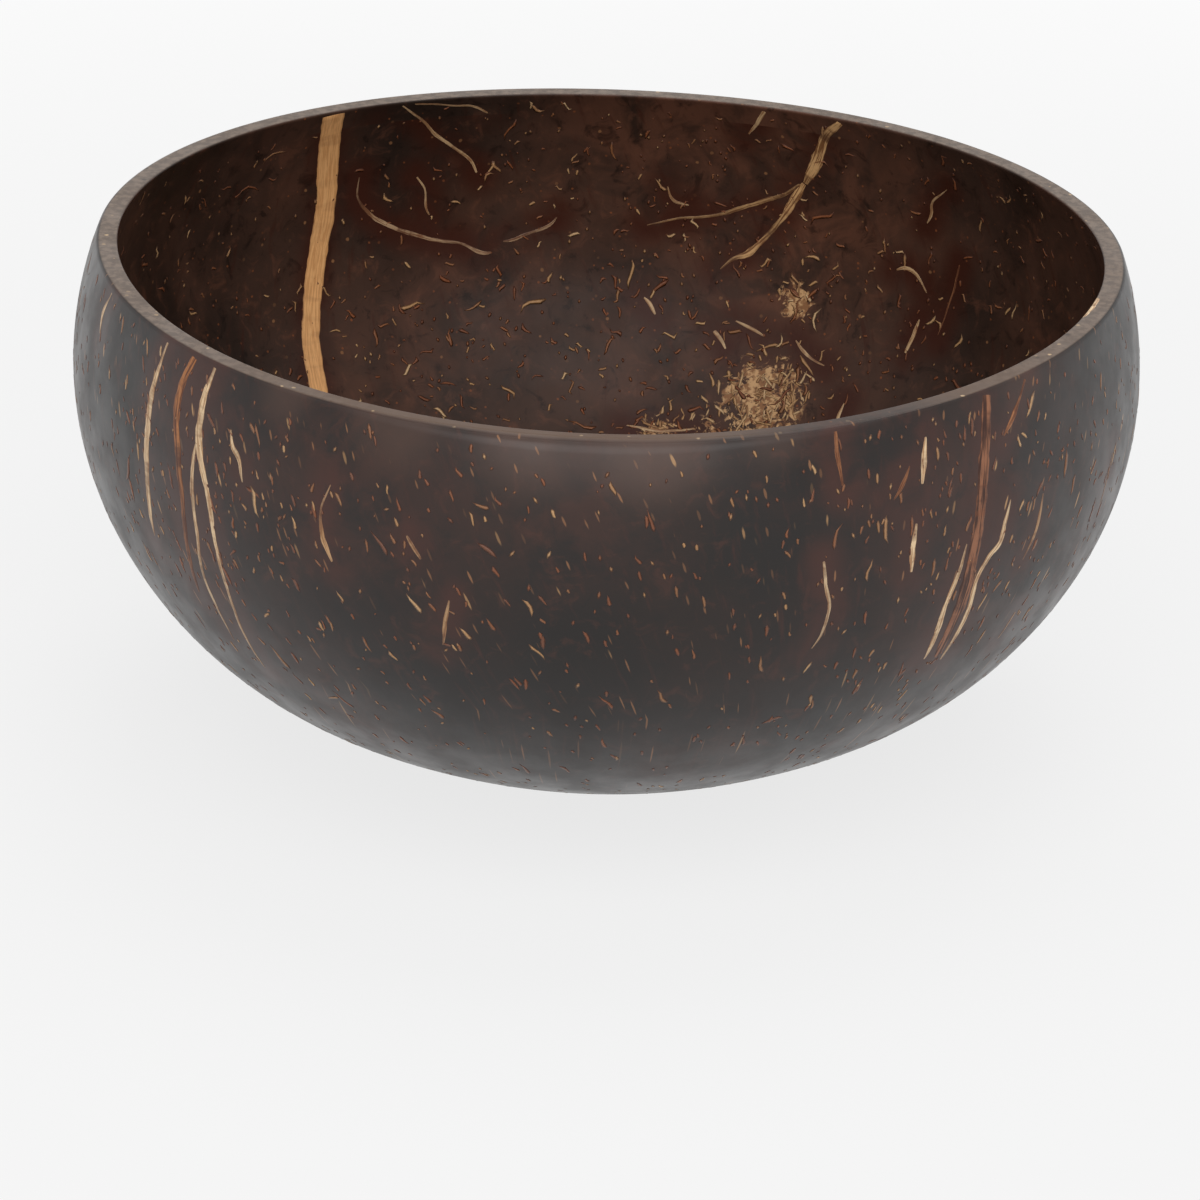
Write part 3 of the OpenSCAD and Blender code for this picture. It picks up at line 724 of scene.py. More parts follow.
def cut_colour(n, own):
    """The sawn face: cut fibre ends, pale and dark."""
    colour = n.mix(n.between(n.noise(own, 900.0, 4.0, 0.62), 0.38, 0.64), CUT_DARK, CUT_TAUPE)
    colour = n.mix(n.read("worn", "Fac"), colour, CUT_WORN)
    colour = specks(n, colour, own, 700.0, 0.26, 0.22, CREAM)
    return specks(n, colour, own, 480.0, 0.22, 0.20, NEAR_BLACK)


def shell_finish(name, side):
    """Oiled and polished shell. side is outer, inner or rim."""
    n = new_finish(name)
    own, grain = n.own(), n.read("grain")
    if side != "inner":
        outer, fibres = outer_colour(n, own, grain)
        colour = outer
    if side != "outer":
        colour, fibres = inner_colour(n, own, grain)
    if side == "rim":
        colour = n.mix(n.read("inner_side", "Fac"), outer, colour)
        colour = n.mix(n.read("cut", "Fac"), colour, cut_colour(n, own))
    rough = n.between(n.noise(own, 130.0, 4.0, 0.6), 0.3, 0.7, 0.30, 0.44)
    height = n.plus(n.times(n.noise(own, 260.0, 2.0), 0.6), n.times(fibres, 0.4))
    return n.polish(colour, rough, SHINE[side], height, 0.35, 0.05)


STRAND_ROUGH = 0.42
STRAND_SHINE = 0.3


def strand_finish(name, core, streak, edge, fade, ember, worn, dull, fine=4200.0):
    """A strand laid open: streaks along it, ragged red-brown edges, and stretches where it turns
    russet or fades into the shell. Its thin ends are duller than its middle."""
    n = new_finish(name + "_finish")
    fibre, rim = n.read("fibre"), n.read("edge", "Fac")
    lines = n.noise(n.scaled(fibre, (1, 0.06, 1)), fine, 3.0, 0.6)
    colour = n.mix(n.between(lines, 0.42, 0.57), streak, core)
    stretch = n.scaled(fibre, (0.25, 1, 1))
    burnt = n.between(n.noise(stretch, 310.0, 3.0, 0.6), 0.52, 0.64, 0.0, ember)
    colour = n.mix(burnt, colour, RUSSET)
    colour = n.mix(n.times(n.read("dim", "Fac"), worn), colour, dull)
    gone = n.between(n.noise(stretch, 190.0, 4.0, 0.65), 0.50, 0.62, 0.0, fade)
    colour = n.mix(gone, colour, edge)
    ragged = n.plus(rim, n.times(n.math("SUBTRACT", lines, 0.5), 0.9))
    colour = n.mix(n.between(ragged, 0.50, 0.92, 0.0, 0.94), colour, edge)
    return n.polish(colour, STRAND_ROUGH, STRAND_SHINE, lines, 0.3, 0.05)


def fleck_finish(name, shine, rusty=0.80):
    """Cut fibre ends: each fleck has its own shade, a pale core and russet or dark edges."""
    n = new_finish(name)
    parts = n.add("SeparateXYZ", Vector=n.read("fleck")).outputs
    ramp = n.add("ValToRGB", Fac=parts["X"])
    stops = ramp.color_ramp.elements
    stops[0].color = rgba(DIM_BROWN)
    stops[1].color = rgba(CREAM)
    for at, colour in ((0.28, RUSSET), (0.50, TAN_BROWN), (0.76, PALE_TAN)):
        stops.new(at).color = rgba(colour)
    mottled = n.noise(n.own(), 1700.0, 3.0)
    low = n.mix(rusty, ramp.outputs[0], n.mix(parts["Z"], DEEP_RED, RED_BROWN))
    core = n.between(n.plus(parts["Y"], n.times(mottled, 0.8)), 0.50, 1.25)
    return n.polish(n.mix(core, low, ramp.outputs[0]), STRAND_ROUGH, shine, mottled, 0.2, 0.03)


# The three pieces of the shell

INNER_ROUTES = [BAND] + FORK + SAG + SHORT_INNER
OUTER_ROUTES = LEFT_FINE + [LEFT_BROWN] + FRONT + [MAIN_BROWN] + RIGHT_FINE + BACK + [BACK_BROWN]
UNDER_ROUTES = UNDERSIDE + [UNDERSIDE_BROWN]
OUTER_FINISH = shell_finish("outer_skin_finish", "outer")
INNER_FINISH = shell_finish("inner_skin_finish", "inner")
RIM_FINISH = shell_finish("rim_finish", "rim")


def hand_in(piece, slot, *nodes):
    """The piece rides on the bowl, in place of its CAD nodes. slot is not used."""
    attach(piece, "root")
    if nodes:
        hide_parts(*nodes)


def make_skin(name, skin, finish, routes, under_routes=()):
    piece = draw_skin(name, skin)
    mark_grain(piece)
    mark_halo(piece, skin, routes, under_routes)
    finish_shape(piece)
    piece.data.materials.append(finish)
    hand_in(piece, "polished_shell", "shell")


make_skin("shell_outer_skin", OUTSIDE, OUTER_FINISH, OUTER_ROUTES, UNDER_ROUTES)
make_skin("shell_inner_skin", INSIDE, INNER_FINISH, INNER_ROUTES)
make_rim()


# Strips that fill the routes

# How ragged the edges are, and how long the waves in their lines and in the width are
RAGGED = 0.24
WIDE_RAGGED = 0.08
EDGE_WAVES = (2.2 * MM, 1.7 * MM)
WIDTH_WAVE = 5 * MM
# A strip sways a little from its route, and narrows and sinks towards its ends
STRIP_SWAY = 0.10 * MM
SWAY_WAVE = 4.5 * MM
TAPER = 3 * MM
LEAST_WIDTH = 0.12
START_TIP, END_TIP = 0.4 * MM, 0.8 * MM


def wobble(along, seed, size, step):
    """A ragged line: three waves of uneven length."""
    waves = [np.sin(along / (step * k) * 2 * math.pi + seed * (3 + k)) / (1 + 0.5 * k)
             for k in (1, 1.7, 3.1)]
    return size * sum(waves) / 2


def flat_strip(name, count, rows):
    """A flat grid to be laid on a route, and the places of its points, from -1 to 1."""
    piece = add_piece(name, bpy.ops.mesh.primitive_grid_add, x_subdivisions=count,
                      y_subdivisions=rows, size=2)
    flat = coords(piece)
    return piece, flat[:, 0], flat[:, 1]


def close_strip(piece, finish):
    """Gives a strip its thickness, down into the wall, and its finish."""
    solid = piece.modifiers.new("thickness", "SOLIDIFY")
    solid.thickness = STRAND_THICK
    solid.offset = -1
    bpy.ops.object.modifier_apply(modifier=solid.name)
    edit_all()
    turn_faces_out()
    bpy.ops.object.shade_smooth_by_angle(angle=math.radians(50))
    piece.data.materials.append(finish)


def strip(name, skin, route, full_width, seed, by_radius, finish):
    """One strand: a strip that follows a route on a skin, its edges sunk in the skin."""
    line, along = follow(skin, route, by_radius)
    count, length = len(along) - 1, along[-1]
    mid_r = skin.at(line[:, 1])[0]
    way = np.stack([np.gradient(np.radians(line[:, 0])) * mid_r, np.gradient(line[:, 1])], -1)
    way /= np.linalg.norm(way, axis=1)[:, None]
    taper = min(TAPER, 0.4 * length)
    ends = smooth(-0.3 * taper, taper, length - along)
    if route[0][1] <= AT_RIM:
        ends = np.minimum(smooth(-0.3 * taper, taper, along), ends)
    ragged = WIDE_RAGGED if full_width > BROWN_W else RAGGED
    half = np.maximum(line[:, 2], LEAST_WIDTH) * full_width / 2 * (0.45 + 0.65 * ends)
    half = half * (1 + wobble(along, seed + 2, 0.6 * ragged, WIDTH_WAVE))

    piece, far, across = flat_strip(name, count, ACROSS)
    row = np.rint((far + 1) / 2 * count).astype(int)
    # The rows stand closer near the edges, which sink into the skin
    across = np.sign(across) * np.abs(across) ** 0.6
    right, left = (wobble(along, seed + k, ragged, wave)[row] for k, wave in zip((0, 5), EDGE_WAVES))
    offset = across * half[row] * (1 + np.where(across > 0, right, left) * np.abs(across))
    offset = offset + wobble(along, seed + 9, STRIP_SWAY, SWAY_WAVE)[row]
    d_turn = -way[row, 1] * offset * skin.side
    d_s = way[row, 0] * offset * skin.side
    tip = np.minimum(smooth(0, START_TIP, along), smooth(0, END_TIP, length - along))[row]
    lift = STRAND_PROUD * (1 - np.abs(across) ** 6) * tip - STRAND_SUNK * (across**12 + (1 - tip) * 0.8)
    turn = line[row, 0] + np.degrees(d_turn / mid_r[row])
    s = line[row, 1] + d_s
    if not by_radius:
        s = np.minimum(s, skin.of_height(RIM_REACH * BOWL_H))
    put_coords(piece, place(skin, turn, s, lift))
    put_numbers(piece, "fibre", np.stack([offset, along[row], 0 * offset + seed], -1))
    put_numbers(piece, "edge", np.maximum(np.abs(across), 1 - 0.8 * ends[row]) ** 2)
    put_numbers(piece, "dim", 1 - smooth(0.25, 0.9, line[row, 2]))
    close_strip(piece, finish)
    return piece


DULL_RED = (0.070, 0.025, 0.014)
DULL_OLIVE = (0.085, 0.040, 0.019)
BAND_LOOK = strand_finish("wide_band", (0.84, 0.45, 0.185), (0.66, 0.32, 0.12), (0.17, 0.06, 0.024),
                          0.12, 0.2, 0.0, DULL_TAUPE)
TAN_LOOK = strand_finish("tan_strand", (0.60, 0.36, 0.18), (0.28, 0.13, 0.055), (0.1, 0.034, 0.017),
                         0.6, 0.35, 0.6, DULL_TAUPE)
PALE_LOOK = strand_finish("pale_strand", (0.84, 0.62, 0.38), (0.46, 0.26, 0.13),
                          (0.105, 0.034, 0.016), 0.5, 0.35, 0.6, DULL_TAUPE)
FORK_LOOK = strand_finish("forked_strand", (0.66, 0.385, 0.170), (0.20, 0.085, 0.032),
                          (0.09, 0.036, 0.018), 0.8, 0.25, 0.6, DULL_OLIVE)
CURVE_LOOK = strand_finish("curved_strand", (0.64, 0.42, 0.24), (0.22, 0.095, 0.042),
                           (0.08, 0.028, 0.015), 0.7, 0.5, 0.7, DULL_RED)
SHORT_LOOK = strand_finish("short_strand", (0.58, 0.385, 0.205), (0.32, 0.165, 0.075),
                           (0.105, 0.036, 0.018), 0.4, 0.45, 0.3, DULL_RED)
BROWN_LOOK = strand_finish("red_brown_strand", (0.31, 0.130, 0.066), (0.048, 0.016, 0.009),
                           (0.042, 0.012, 0.007), 0.5, 0.4, 0.5, DULL_RED, 2300.0)
ORANGE_LOOK = strand_finish("orange_brown_strand", (0.50, 0.200, 0.070), (0.115, 0.034, 0.013),
                            (0.048, 0.014, 0.008), 0.6, 0.5, 0.6, DULL_RED, 2600.0)
EMBER_LOOK = strand_finish("ember_strand", (0.40, 0.170, 0.072), (0.150, 0.050, 0.021),
                           (0.060, 0.018, 0.010), 0.5, 0.5, 0.6, DULL_RED)


def make_strands(name, node, slot, skin, *groups, by_radius=False):
    """The strips of one node, made one piece. Each group is (routes, full width, finish)."""
    parts = []
    for routes, full_width, finish in groups:
        for route in routes:
            seed = 0.7 * len(parts) + len(name)
            parts.append(strip(name, skin, route, full_width, seed, by_radius, finish))
    pick(*parts)
    if len(parts) > 1:
        bpy.ops.object.join()
    piece = bpy.context.object
    piece.name = piece.data.name = name
    hand_in(piece, slot, node)


make_strands("wide_band", "wide_inner_strand", "tan_strand", INSIDE, ([BAND], BAND_W, BAND_LOOK))
make_strands("forked_strand", "forked_inner_strand", "tan_strand", INSIDE, (FORK, FORK_W, FORK_LOOK))
make_strands("curved_strand", "curved_inner_strand", "pale_strand", INSIDE, (SAG, FINE_W, CURVE_LOOK))
make_strands("short_strands", "short_inner_strands", "tan_strand", INSIDE,
             (SHORT_INNER[:12] + SHORT_INNER[13:], SHORT_W, SHORT_LOOK),
             (SHORT_INNER[12:13], SHORT_W, EMBER_LOOK))
make_strands("left_strands", "left_outer_strands", "pale_strand", OUTSIDE,
             (LEFT_FINE, FINE_W, PALE_LOOK), ([LEFT_BROWN], BROWN_W, ORANGE_LOOK))
make_strands("front_strands", "front_outer_strands", "tan_strand", OUTSIDE,
             (FRONT[:1] + FRONT[2:4], FINE_W, TAN_LOOK),
             (FRONT[1:2] + FRONT[4:5], FINE_W, PALE_LOOK), (FRONT[5:], FINE_W, EMBER_LOOK))
make_strands("right_strands", "right_outer_strands", "red_brown_strand", OUTSIDE,
             ([MAIN_BROWN], BROWN_W, BROWN_LOOK), (RIGHT_FINE[:4], FINE_W, PALE_LOOK),
             (RIGHT_FINE[4:6], FINE_W, EMBER_LOOK), (RIGHT_FINE[6:], FINE_W, TAN_LOOK))
make_strands("back_strands", "back_outer_strands", "tan_strand", OUTSIDE,
             (BACK[:2] + BACK[3:], FINE_W, PALE_LOOK), (BACK[2:3], FINE_W, EMBER_LOOK),
             ([BACK_BROWN], BROWN_W, BROWN_LOOK))
make_strands("bottom_strands", "underside_strands", "pale_strand", OUTSIDE,
             (UNDERSIDE, FINE_W, PALE_LOOK), ([UNDERSIDE_BROWN], BROWN_W, BROWN_LOOK), by_radius=True)


# Knot beside the foot: three arms from one middle, turned as the knot is turned
KNOT_TURN = 35
KNOT_PLACE = 0.29 * MID_R
KNOT_ARM = 3.4 * MM
KNOT_ARMS = [(20, 0.8), (160, 1), (265, 1.5)]
KNOT_WIDTH = 0.36
# Places along an arm, from just behind the middle, and the width shares there
ARM_WIDTHS = [(-0.12, 1.1), (0.35, 0.95), (0.75, 0.6), (1.0, 0.3)]


def knot_routes():
    turn = math.radians(KNOT_TURN)
    middle = np.array([math.sin(turn), -math.cos(turn)]) * KNOT_PLACE
    routes = []
    for arm_turn, share in KNOT_ARMS:
        way = math.radians(KNOT_TURN + arm_turn)
        route = []
        for reach, width in ARM_WIDTHS:
            x, y = middle + reach * share * KNOT_ARM * np.array([math.cos(way), math.sin(way)])
            route.append((math.degrees(math.atan2(x, -y)), math.hypot(x, y) / MID_R, width))
        routes.append(route)
    return routes


make_strands("knot", "foot_knot", "pale_strand", OUTSIDE,
             (knot_routes(), KNOT_WIDTH * KNOT_ARM, PALE_LOOK), by_radius=True)


RIM_STRAND_TURNS = (66, 81)
RIM_STRAND_LONG = 17 * MM
RIM_STRAND_W = 1.1 * MM
RIM_STRAND_WAVE = 3 * MM
RIM_STRAND_STEPS = 30


def make_rim_strand():
    """The strand that the saw laid open along the inner edge of the rim."""
    piece, far, across = flat_strip("rim_edge_strand", RIM_STRAND_STEPS, ACROSS + 4)
    piece.data.name = piece.name
    share = (far + 1) / 2
    along = share * RIM_STRAND_LONG
    width = smooth(-0.1, 0.7, share) * (1 - smooth(0.86, 1.03, share))
    width = width * (1 + wobble(along, 2.2, 0.1, RIM_STRAND_WAVE))
    path = across * RIM_STRAND_W * (0.25 + 0.75 * width)
    start, end = RIM_STRAND_TURNS
    turn = start + share * (end - start)
    proud = STRAND_PROUD * (1 - across**2) * width - STRAND_SUNK * (1 - width + across**4)
    down, inward = rounded_corner(np.maximum(path, 0), np.maximum(-path, 0), INNER_EASE)
    z = BOWL_H - down
    lean = np.clip(path / INNER_EASE, -1, 1) * math.pi / 4 + math.pi / 4
    r = INSIDE.radius_at(z) + inward - proud * np.sin(lean)
    z = np.minimum(z + proud * np.cos(lean), BOWL_H + STRAND_PROUD)
    put_coords(piece, as_grown(ring_points(np.radians(turn), r, z)))
    put_numbers(piece, "fibre", np.stack([path, along, 0 * path + 3], -1))
    put_numbers(piece, "edge", np.maximum(np.abs(across), 1 - width) ** 2)
    put_numbers(piece, "dim", 0 * path)
    close_strip(piece, PALE_LOOK)
    hand_in(piece, "pale_strand", "rim_strand")


make_rim_strand()


# Flecks: short fibres cut through by the polishing

def select_where(piece, test):
    """In edit mode, picks the points whose place passes the test and nothing else."""
    bpy.ops.mesh.select_all(action="DESELECT")
    bpy.ops.object.mode_set(mode="OBJECT")
    for vertex in piece.data.vertices:
        vertex.select = test(vertex.co)
    bpy.ops.object.mode_set(mode="EDIT")


def model_fleck(name, rings):
    """A bead with four long sides, one long and one wide. rings is a list of (place along, size)."""
    piece = add_piece(name, bpy.ops.mesh.primitive_cylinder_add, vertices=4, radius=0.5, depth=1,
                      rotation=(0, math.pi / 2, 0))
    bpy.ops.object.transform_apply(location=True, rotation=True, scale=True)
    bpy.ops.object.mode_set(mode="EDIT")
    for at, _ in rings[1:-1]:
        bpy.ops.mesh.select_all(action="SELECT")
        bpy.ops.mesh.bisect(plane_co=(at, 0, 0), plane_no=(1, 0, 0))
    for at, size in rings:
        select_where(piece, lambda co: abs(co.x - at) < 0.01)
        bpy.ops.transform.resize(value=(1, size, size))
    bpy.ops.object.mode_set(mode="OBJECT")
    faces = [list(face.vertices) for face in piece.data.polygons]
    shape = coords(piece), faces
    bpy.data.objects.remove(piece)
    return shape


FLECK_SHAPES = [
    model_fleck("streak", [(-0.5, 0.15), (-0.28, 0.75), (0, 1), (0.3, 0.8), (0.5, 0.15)]),
    model_fleck("nail", [(-0.5, 0.35), (-0.36, 1), (-0.1, 0.8), (0.2, 0.5), (0.5, 0.12)]),
    model_fleck("sliver", [(-0.5, 0.1), (-0.3, 0.5), (-0.05, 0.7), (0.25, 1), (0.5, 0.25)])]
DOT_SHAPES = [model_fleck("dot", [(-0.5, 0.4), (0, 1), (0.5, 0.45)])]
FLECK_H = 0.042 * MM
FLECK_RISE = 0.008 * MM
# Flecks start this far from the axis and end this far under the rim, and they keep clear of the
# widest strands
AXIS_GAP = 1 * MM
RIM_GAP = 1.2 * MM
BROWN_GAP = 1.2 * MM
BAND_GAP = 2 * MM
# The ridge along a fleck stops before its ends
RIDGE_END = 0.45
# Near the axis a fleck turns as if it lay this far out
LEAST_RADIUS = 4 * MM


def highest(skin):
    return skin.of_height(BOWL_H - RIM_GAP)


def scatter(rng, skin, count, crowds, base):
    """Random places on a skin, even to the area and then thinned away from the crowded spots."""
    sections = np.linspace(AXIS_GAP, highest(skin), 400)
    shares = np.cumsum(skin.at(sections)[0])
    s = np.interp(rng.random(count), shares / shares[-1], sections)
    turn = rng.uniform(-180, 180, count)
    weight = np.full(count, base)
    for crowd_turn, height_share, radius, amount in crowds:
        d_turn = (turn - crowd_turn + 180) % 360 - 180
        d_s = s - skin.of_height(height_share * BOWL_H)
        away = np.hypot(np.radians(d_turn) * skin.at(s)[0], d_s)
        weight += amount * (1 - smooth(0.3, 1, away / (radius * MM)))
    kept = rng.random(count) < weight / (base + 1)
    return turn[kept], s[kept]


def clear_of(skin, turn, s, routes, gap):
    """The places that lie off the given strands."""
    kept = np.ones(len(turn), bool)
    for route in routes:
        line = np.array(route, float)
        line_s = skin.of_height(line[:, 1] * BOWL_H)
        order = np.argsort(line_s)
        at_turn = np.interp(s, line_s[order], line[order, 0], left=1e3, right=1e3)
        kept &= np.abs(np.radians(turn - at_turn)) * skin.at(s)[0] > gap
    return turn[kept], s[kept]


def lay_flecks(name, skin, finish, shapes, flecks, height=FLECK_H):
    """Copies the fleck shapes onto a skin as one mesh, one copy for each column of flecks.
    The rows of flecks are turn, s, length, width, lean, bend, curl and shade."""
    rng = np.random.default_rng(len(name))
    count = len(flecks[0])
    pick_shape = rng.integers(0, len(shapes), count)
    flecks = np.vstack([*flecks, rng.random(count)])
    flecks[1] = np.minimum(flecks[1], highest(skin) - 0.5 * flecks[2])
    points, faces, marks, first = [], [], [], 0
    for i, (shape, shape_faces) in enumerate(shapes):
        own = flecks[:, pick_shape == i, None]
        turn, s, length, width, lean, bend, curl, shade, seed = own
        x, y, z = shape.T
        along = x * length
        side = y * width + length * (bend * (1 - 4 * x**2) + curl * np.sin(2 * math.pi * x))
        cos, sin = np.cos(lean), np.sin(lean)
        at_s = np.abs(s + along * cos - side * sin)
        around = (along * sin + side * cos) / np.maximum(skin.at(s)[0], LEAST_RADIUS)
        lift = z * height + FLECK_RISE * (0.5 + seed)
        points.append(place(skin, turn + np.degrees(around), at_s, lift).reshape(-1, 3))
        ridge = np.clip(1 - 2 * np.abs(y), 0, 1) * (np.abs(x) < RIDGE_END)
        marks.append(np.stack(np.broadcast_arrays(shade, ridge, seed), -1).reshape(-1, 3))
        starts = first + np.arange(own.shape[1]) * len(shape)
        for face in shape_faces:
            faces.extend((starts[:, None] + np.array(face)).tolist())
        first += own.shape[1] * len(shape)
    mesh = bpy.data.meshes.new(name)
    mesh.from_pydata(np.vstack(points).tolist(), [], faces)
    piece = bpy.data.objects.new(name, mesh)
    bpy.context.scene.collection.objects.link(piece)
    put_numbers(piece, "fleck", np.vstack(marks))
    pick(piece)
    edit_all()
    turn_faces_out()
    bpy.ops.object.shade_smooth()
    mesh.materials.append(finish)
    return piece


OUTER_FLECK_LOOK = fleck_finish("outer_fleck_finish", SHINE["outer"])
INNER_FLECK_LOOK = fleck_finish("inner_fleck_finish", 0.25)
PATCH_LOOK = fleck_finish("patch_finish", 0.3, 0.25)
# Where flecks crowd: turn, share of the height, radius in mm and strength
OUTER_CROWDS = [(-51, 0.78, 26, 0.9), (-30, 0.72, 22, 0.6), (45, 0.80, 28, 0.7), (30, 0.85, 18, 0.4),
                (140, 0.7, 24, 0.8), (-154, 0.7, 22, 0.8)]
INNER_CROWDS = [(165, 0.6, 30, 0.8), (-170, 0.5, 26, 0.6), (150, 0.45, 24, 0.7), (-150, 0.4, 24, 0.4),
                (-20, 0.5, 26, 0.5), (80, 0.5, 26, 0.4)]
OUTER_SPREAD = 4900
OUTER_DOTS = 3000
INNER_SPREAD = 4300
INNER_DOTS = 3000
PIECE_FLECKS = 4800
# The longest fleck, in mm, and the share of the outer ones that lie askew
LONGEST = 4.2
CROOKED_SHARE = 0.06


def make_flecks(name, skin, finish, shapes, *rows):
    """Flecks in pieces of not too many each."""
    flecks = np.array(rows)
    for i, first in enumerate(range(0, flecks.shape[1], PIECE_FLECKS)):
        part = flecks[:, first:first + PIECE_FLECKS]
        hand_in(lay_flecks(f"{name}_{i + 1}", skin, finish, shapes, part), "tan_strand")


def fleck_sizes(rng, count, middle, spread, shortest, width, more_width):
    """Lengths about a middle one, and widths that grow with them."""
    length = np.clip(rng.lognormal(math.log(middle), spread, count), shortest, LONGEST)
    return length * MM, (width + more_width * np.sqrt(length) * rng.uniform(0.5, 1.5, count)) * MM


def make_outer_flecks():
    """Streaks that run from the rim towards the foot."""
    rng = np.random.default_rng(11)
    turn, s = scatter(rng, OUTSIDE, OUTER_SPREAD, OUTER_CROWDS, 0.55)
    turn, s = clear_of(OUTSIDE, turn, s, [MAIN_BROWN, LEFT_BROWN], BROWN_GAP)
    count = len(turn)
    length, width = fleck_sizes(rng, count, 1.2, 0.48, 0.5, 0.26, 0.22)
    lean = np.radians(rng.normal(0, 13, count)) + fibre_lean(turn)
    crooked = rng.random(count) < CROOKED_SHARE
    lean = np.where(crooked, np.radians(rng.uniform(-90, 90, count)), lean)
    longer = np.clip(0.70 + 0.2 * np.sqrt(length / MM), 0, 1.0)
    shade = 0.12 + 0.76 * rng.random(count) ** 1.9 * longer
    bend, curl = rng.normal(0, 0.05, count), rng.normal(0, 0.03, count)
    make_flecks("outer_flecks", OUTSIDE, OUTER_FLECK_LOOK, FLECK_SHAPES,
                turn, s, length, width, lean, bend, curl, shade)


def make_inner_flecks():
    """Curlier fibres that lie in all directions."""
    rng = np.random.default_rng(23)
    turn, s = scatter(rng, INSIDE, INNER_SPREAD, INNER_CROWDS, 0.5)
    turn, s = clear_of(INSIDE, turn, s, [BAND], BAND_GAP)
    count = len(turn)
    length, width = fleck_sizes(rng, count, 1.15, 0.50, 0.45, 0.24, 0.21)
    lean = np.radians(rng.uniform(-90, 90, count))
    longer = np.clip(0.68 + 0.22 * np.sqrt(length / MM), 0, 1.0)
    shade = 0.17 + 0.76 * rng.random(count) ** 1.7 * longer
    bend, curl = rng.normal(0, 0.13, count), rng.normal(0, 0.09, count)
    make_flecks("inner_flecks", INSIDE, INNER_FLECK_LOOK, FLECK_SHAPES,
                turn, s, length, width, lean, bend, curl, shade)


def make_dots(name, skin, finish, seed, spread_count, crowds, long_share):
    """Ends of fibres cut straight through, too small to show a length."""
    rng = np.random.default_rng(seed)
    turn, s = scatter(rng, skin, spread_count, crowds, 0.7)
    count = len(turn)
    width = rng.uniform(0.28, 0.55, count) * MM
    length = width * rng.uniform(1, long_share, count)
    lean = np.radians(rng.normal(0, 25, count))
    shade = 0.10 + 0.72 * rng.random(count) ** 1.5
    make_flecks(name, skin, finish, DOT_SHAPES,
                turn, s, length, width, lean, 0 * width, 0 * width, shade)


# The fibre patches: turn, share of the height, radius and how many fibres
PATCHES = [(157.6, 0.40, 6.5 * MM, 84), (156.4, 0.583, 2.2 * MM, 6), (171.5, 0.322, 4.0 * MM, 20),
           (165.5, 0.34, 3.0 * MM, 8)]


def make_fibre_patch():
    """Frayed fibres that cross each other in the two patches."""
    rng = np.random.default_rng(5)
    places = []
    for turn, height_share, radius, count in PATCHES:
        away = radius * np.sqrt(rng.random(count)) ** 1.25
        way = rng.uniform(0, 2 * math.pi, count)
        reach = 1 + 0.18 * np.sin(5 * way + 1) + 0.12 * np.sin(9 * way)
        s = INSIDE.of_height(height_share * BOWL_H)
        places.append((turn + np.degrees(away * reach * np.cos(way) / INSIDE.at(s)[0]),
                       s + away * reach * np.sin(way)))
    turn, s = np.hstack(places)
    count = len(turn)
    upright = rng.random(count) < 0.65
    lean = np.radians(np.where(upright, rng.normal(6, 26, count), rng.normal(78, 24, count)))
    length = np.clip(rng.lognormal(math.log(1.50), 0.45, count), 0.6, 3.6) * MM
    width = rng.uniform(0.25, 0.60, count) * MM
    bend, curl = rng.normal(0, 0.04, count), rng.normal(0, 0.04, count)
    shade = rng.uniform(0.58, 0.92, count)
    fibres = [turn, s, length, width, lean, bend, curl, shade]
    piece = lay_flecks("fibre_patch", INSIDE, PATCH_LOOK, FLECK_SHAPES, fibres, 0.3 * FLECK_H)
    hand_in(piece, "tan_strand", "inner_fibre_patch")


make_outer_flecks()
make_dots("outer_dots", OUTSIDE, OUTER_FLECK_LOOK, 31, OUTER_DOTS, OUTER_CROWDS, 2.2)
make_inner_flecks()
make_dots("inner_dots", INSIDE, INNER_FLECK_LOOK, 37, INNER_DOTS, INNER_CROWDS, 1.5)
make_fibre_patch()


# Floor, light and camera

FLOOR_R = 1.6
FLOOR_GREY = (0.62, 0.62, 0.62)
# Near the bowl this share of the floor is plain white, so that it keeps some shadow. Far off it is
# all white
FLOOR_NEAR, FLOOR_FAR = 0.14, 0.50
FLOOR_WHITE = 0.78
WORLD_LEVEL = 0.50
KEY_AT = (0.05, -1.6, 1.5)
KEY_SIZE = 2.4
KEY_POWER = 35.6
FILL_AT = (0.15, 0.8, 1.75)
FILL_SIZE = 1.2
FILL_POWER = 10.0


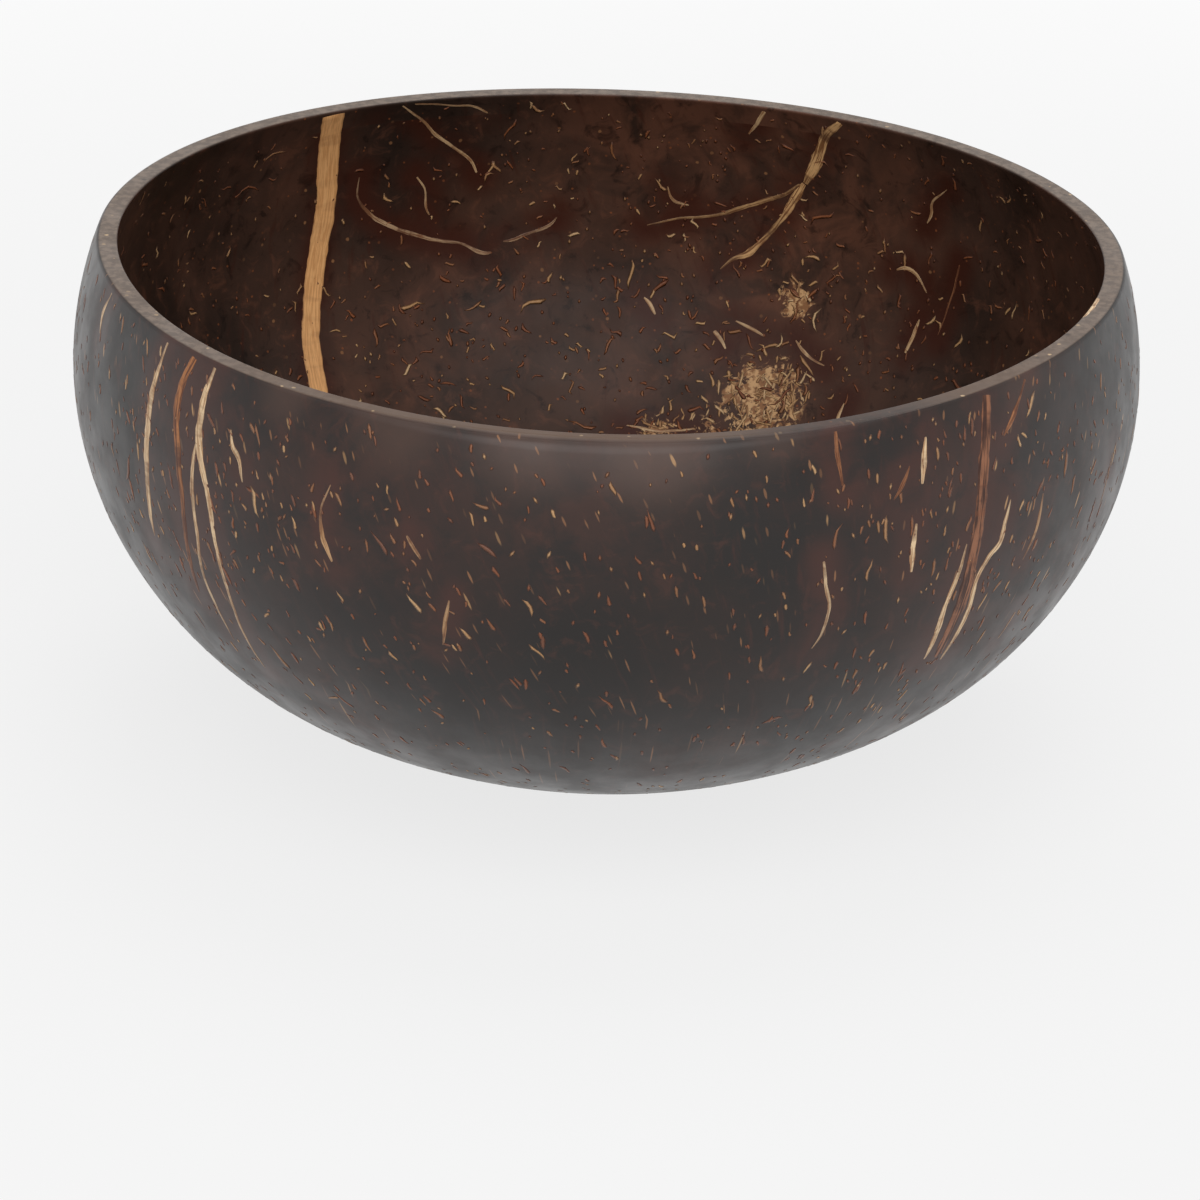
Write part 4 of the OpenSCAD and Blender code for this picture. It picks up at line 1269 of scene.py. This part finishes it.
def make_floor():
    """A pale floor that ends in white far off, and lets a view from below through."""
    floor = add_piece("floor", bpy.ops.mesh.primitive_circle_add, vertices=128, radius=FLOOR_R,
                      fill_type="NGON")
    n = new_finish("pale_floor")
    matt = n.add("BsdfDiffuse", Color=rgba(FLOOR_GREY))
    white = n.add("Emission", Color=rgba((1, 1, 1)), Strength=1.0)
    far_off = n.between(n.distance(n.own()), FLOOR_NEAR, FLOOR_FAR, FLOOR_WHITE, 1.0)
    top = n.mixed_shader(n.times(n.seen_directly(), far_off), matt, white)
    below = n.add("NewGeometry").outputs["Backfacing"]
    floor.data.materials.append(n.close(n.mixed_shader(below, top, n.add("BsdfTransparent"))))


def make_world():
    """White where it is seen, and dimmer as a light."""
    world = bpy.data.worlds.new("studio")
    bpy.context.scene.world = world
    n = Nodes(world, "OutputWorld")
    n.close(n.add("Background", Strength=n.between(n.seen_directly(), 0.0, 1.0, WORLD_LEVEL, 1.0)))


def facing(start, aim):
    """The turn of a lamp or camera that looks from start to aim."""
    return (Vector(aim) - Vector(start)).to_track_quat("-Z", "Y")


def soft_lamp(name, place_at, size, power):
    lamp = add_piece(name, bpy.ops.object.light_add, type="AREA", location=place_at)
    lamp.data.size = size
    lamp.data.energy = power
    lamp.rotation_euler = facing(place_at, (0, 0, BOWL_H / 2)).to_euler()


CAMERA_AT = (0, -0.9297, 0.4032)
AIM_AT = (0.00027, -0.00588, 0.02016)
CAMERA_ROLL = 1.875
CAMERA_LENS = 227.2
SENSOR_WIDTH = 36
NEAREST, FARTHEST = 0.05, 20


def make_camera():
    bpy.ops.object.camera_add(location=CAMERA_AT)
    camera = bpy.context.object
    camera.data.lens = CAMERA_LENS
    camera.data.sensor_width = SENSOR_WIDTH
    camera.data.clip_start = NEAREST
    camera.data.clip_end = FARTHEST
    roll = Quaternion((0, 0, 1), math.radians(CAMERA_ROLL))
    camera.rotation_euler = (facing(CAMERA_AT, AIM_AT) @ roll).to_euler()
    bpy.context.scene.camera = camera


make_floor()
make_world()
soft_lamp("key_lamp", KEY_AT, KEY_SIZE, KEY_POWER)
soft_lamp("fill_lamp", FILL_AT, FILL_SIZE, FILL_POWER)
clear_selection()
make_camera()
bpy.context.scene.view_settings.view_transform = "Standard"
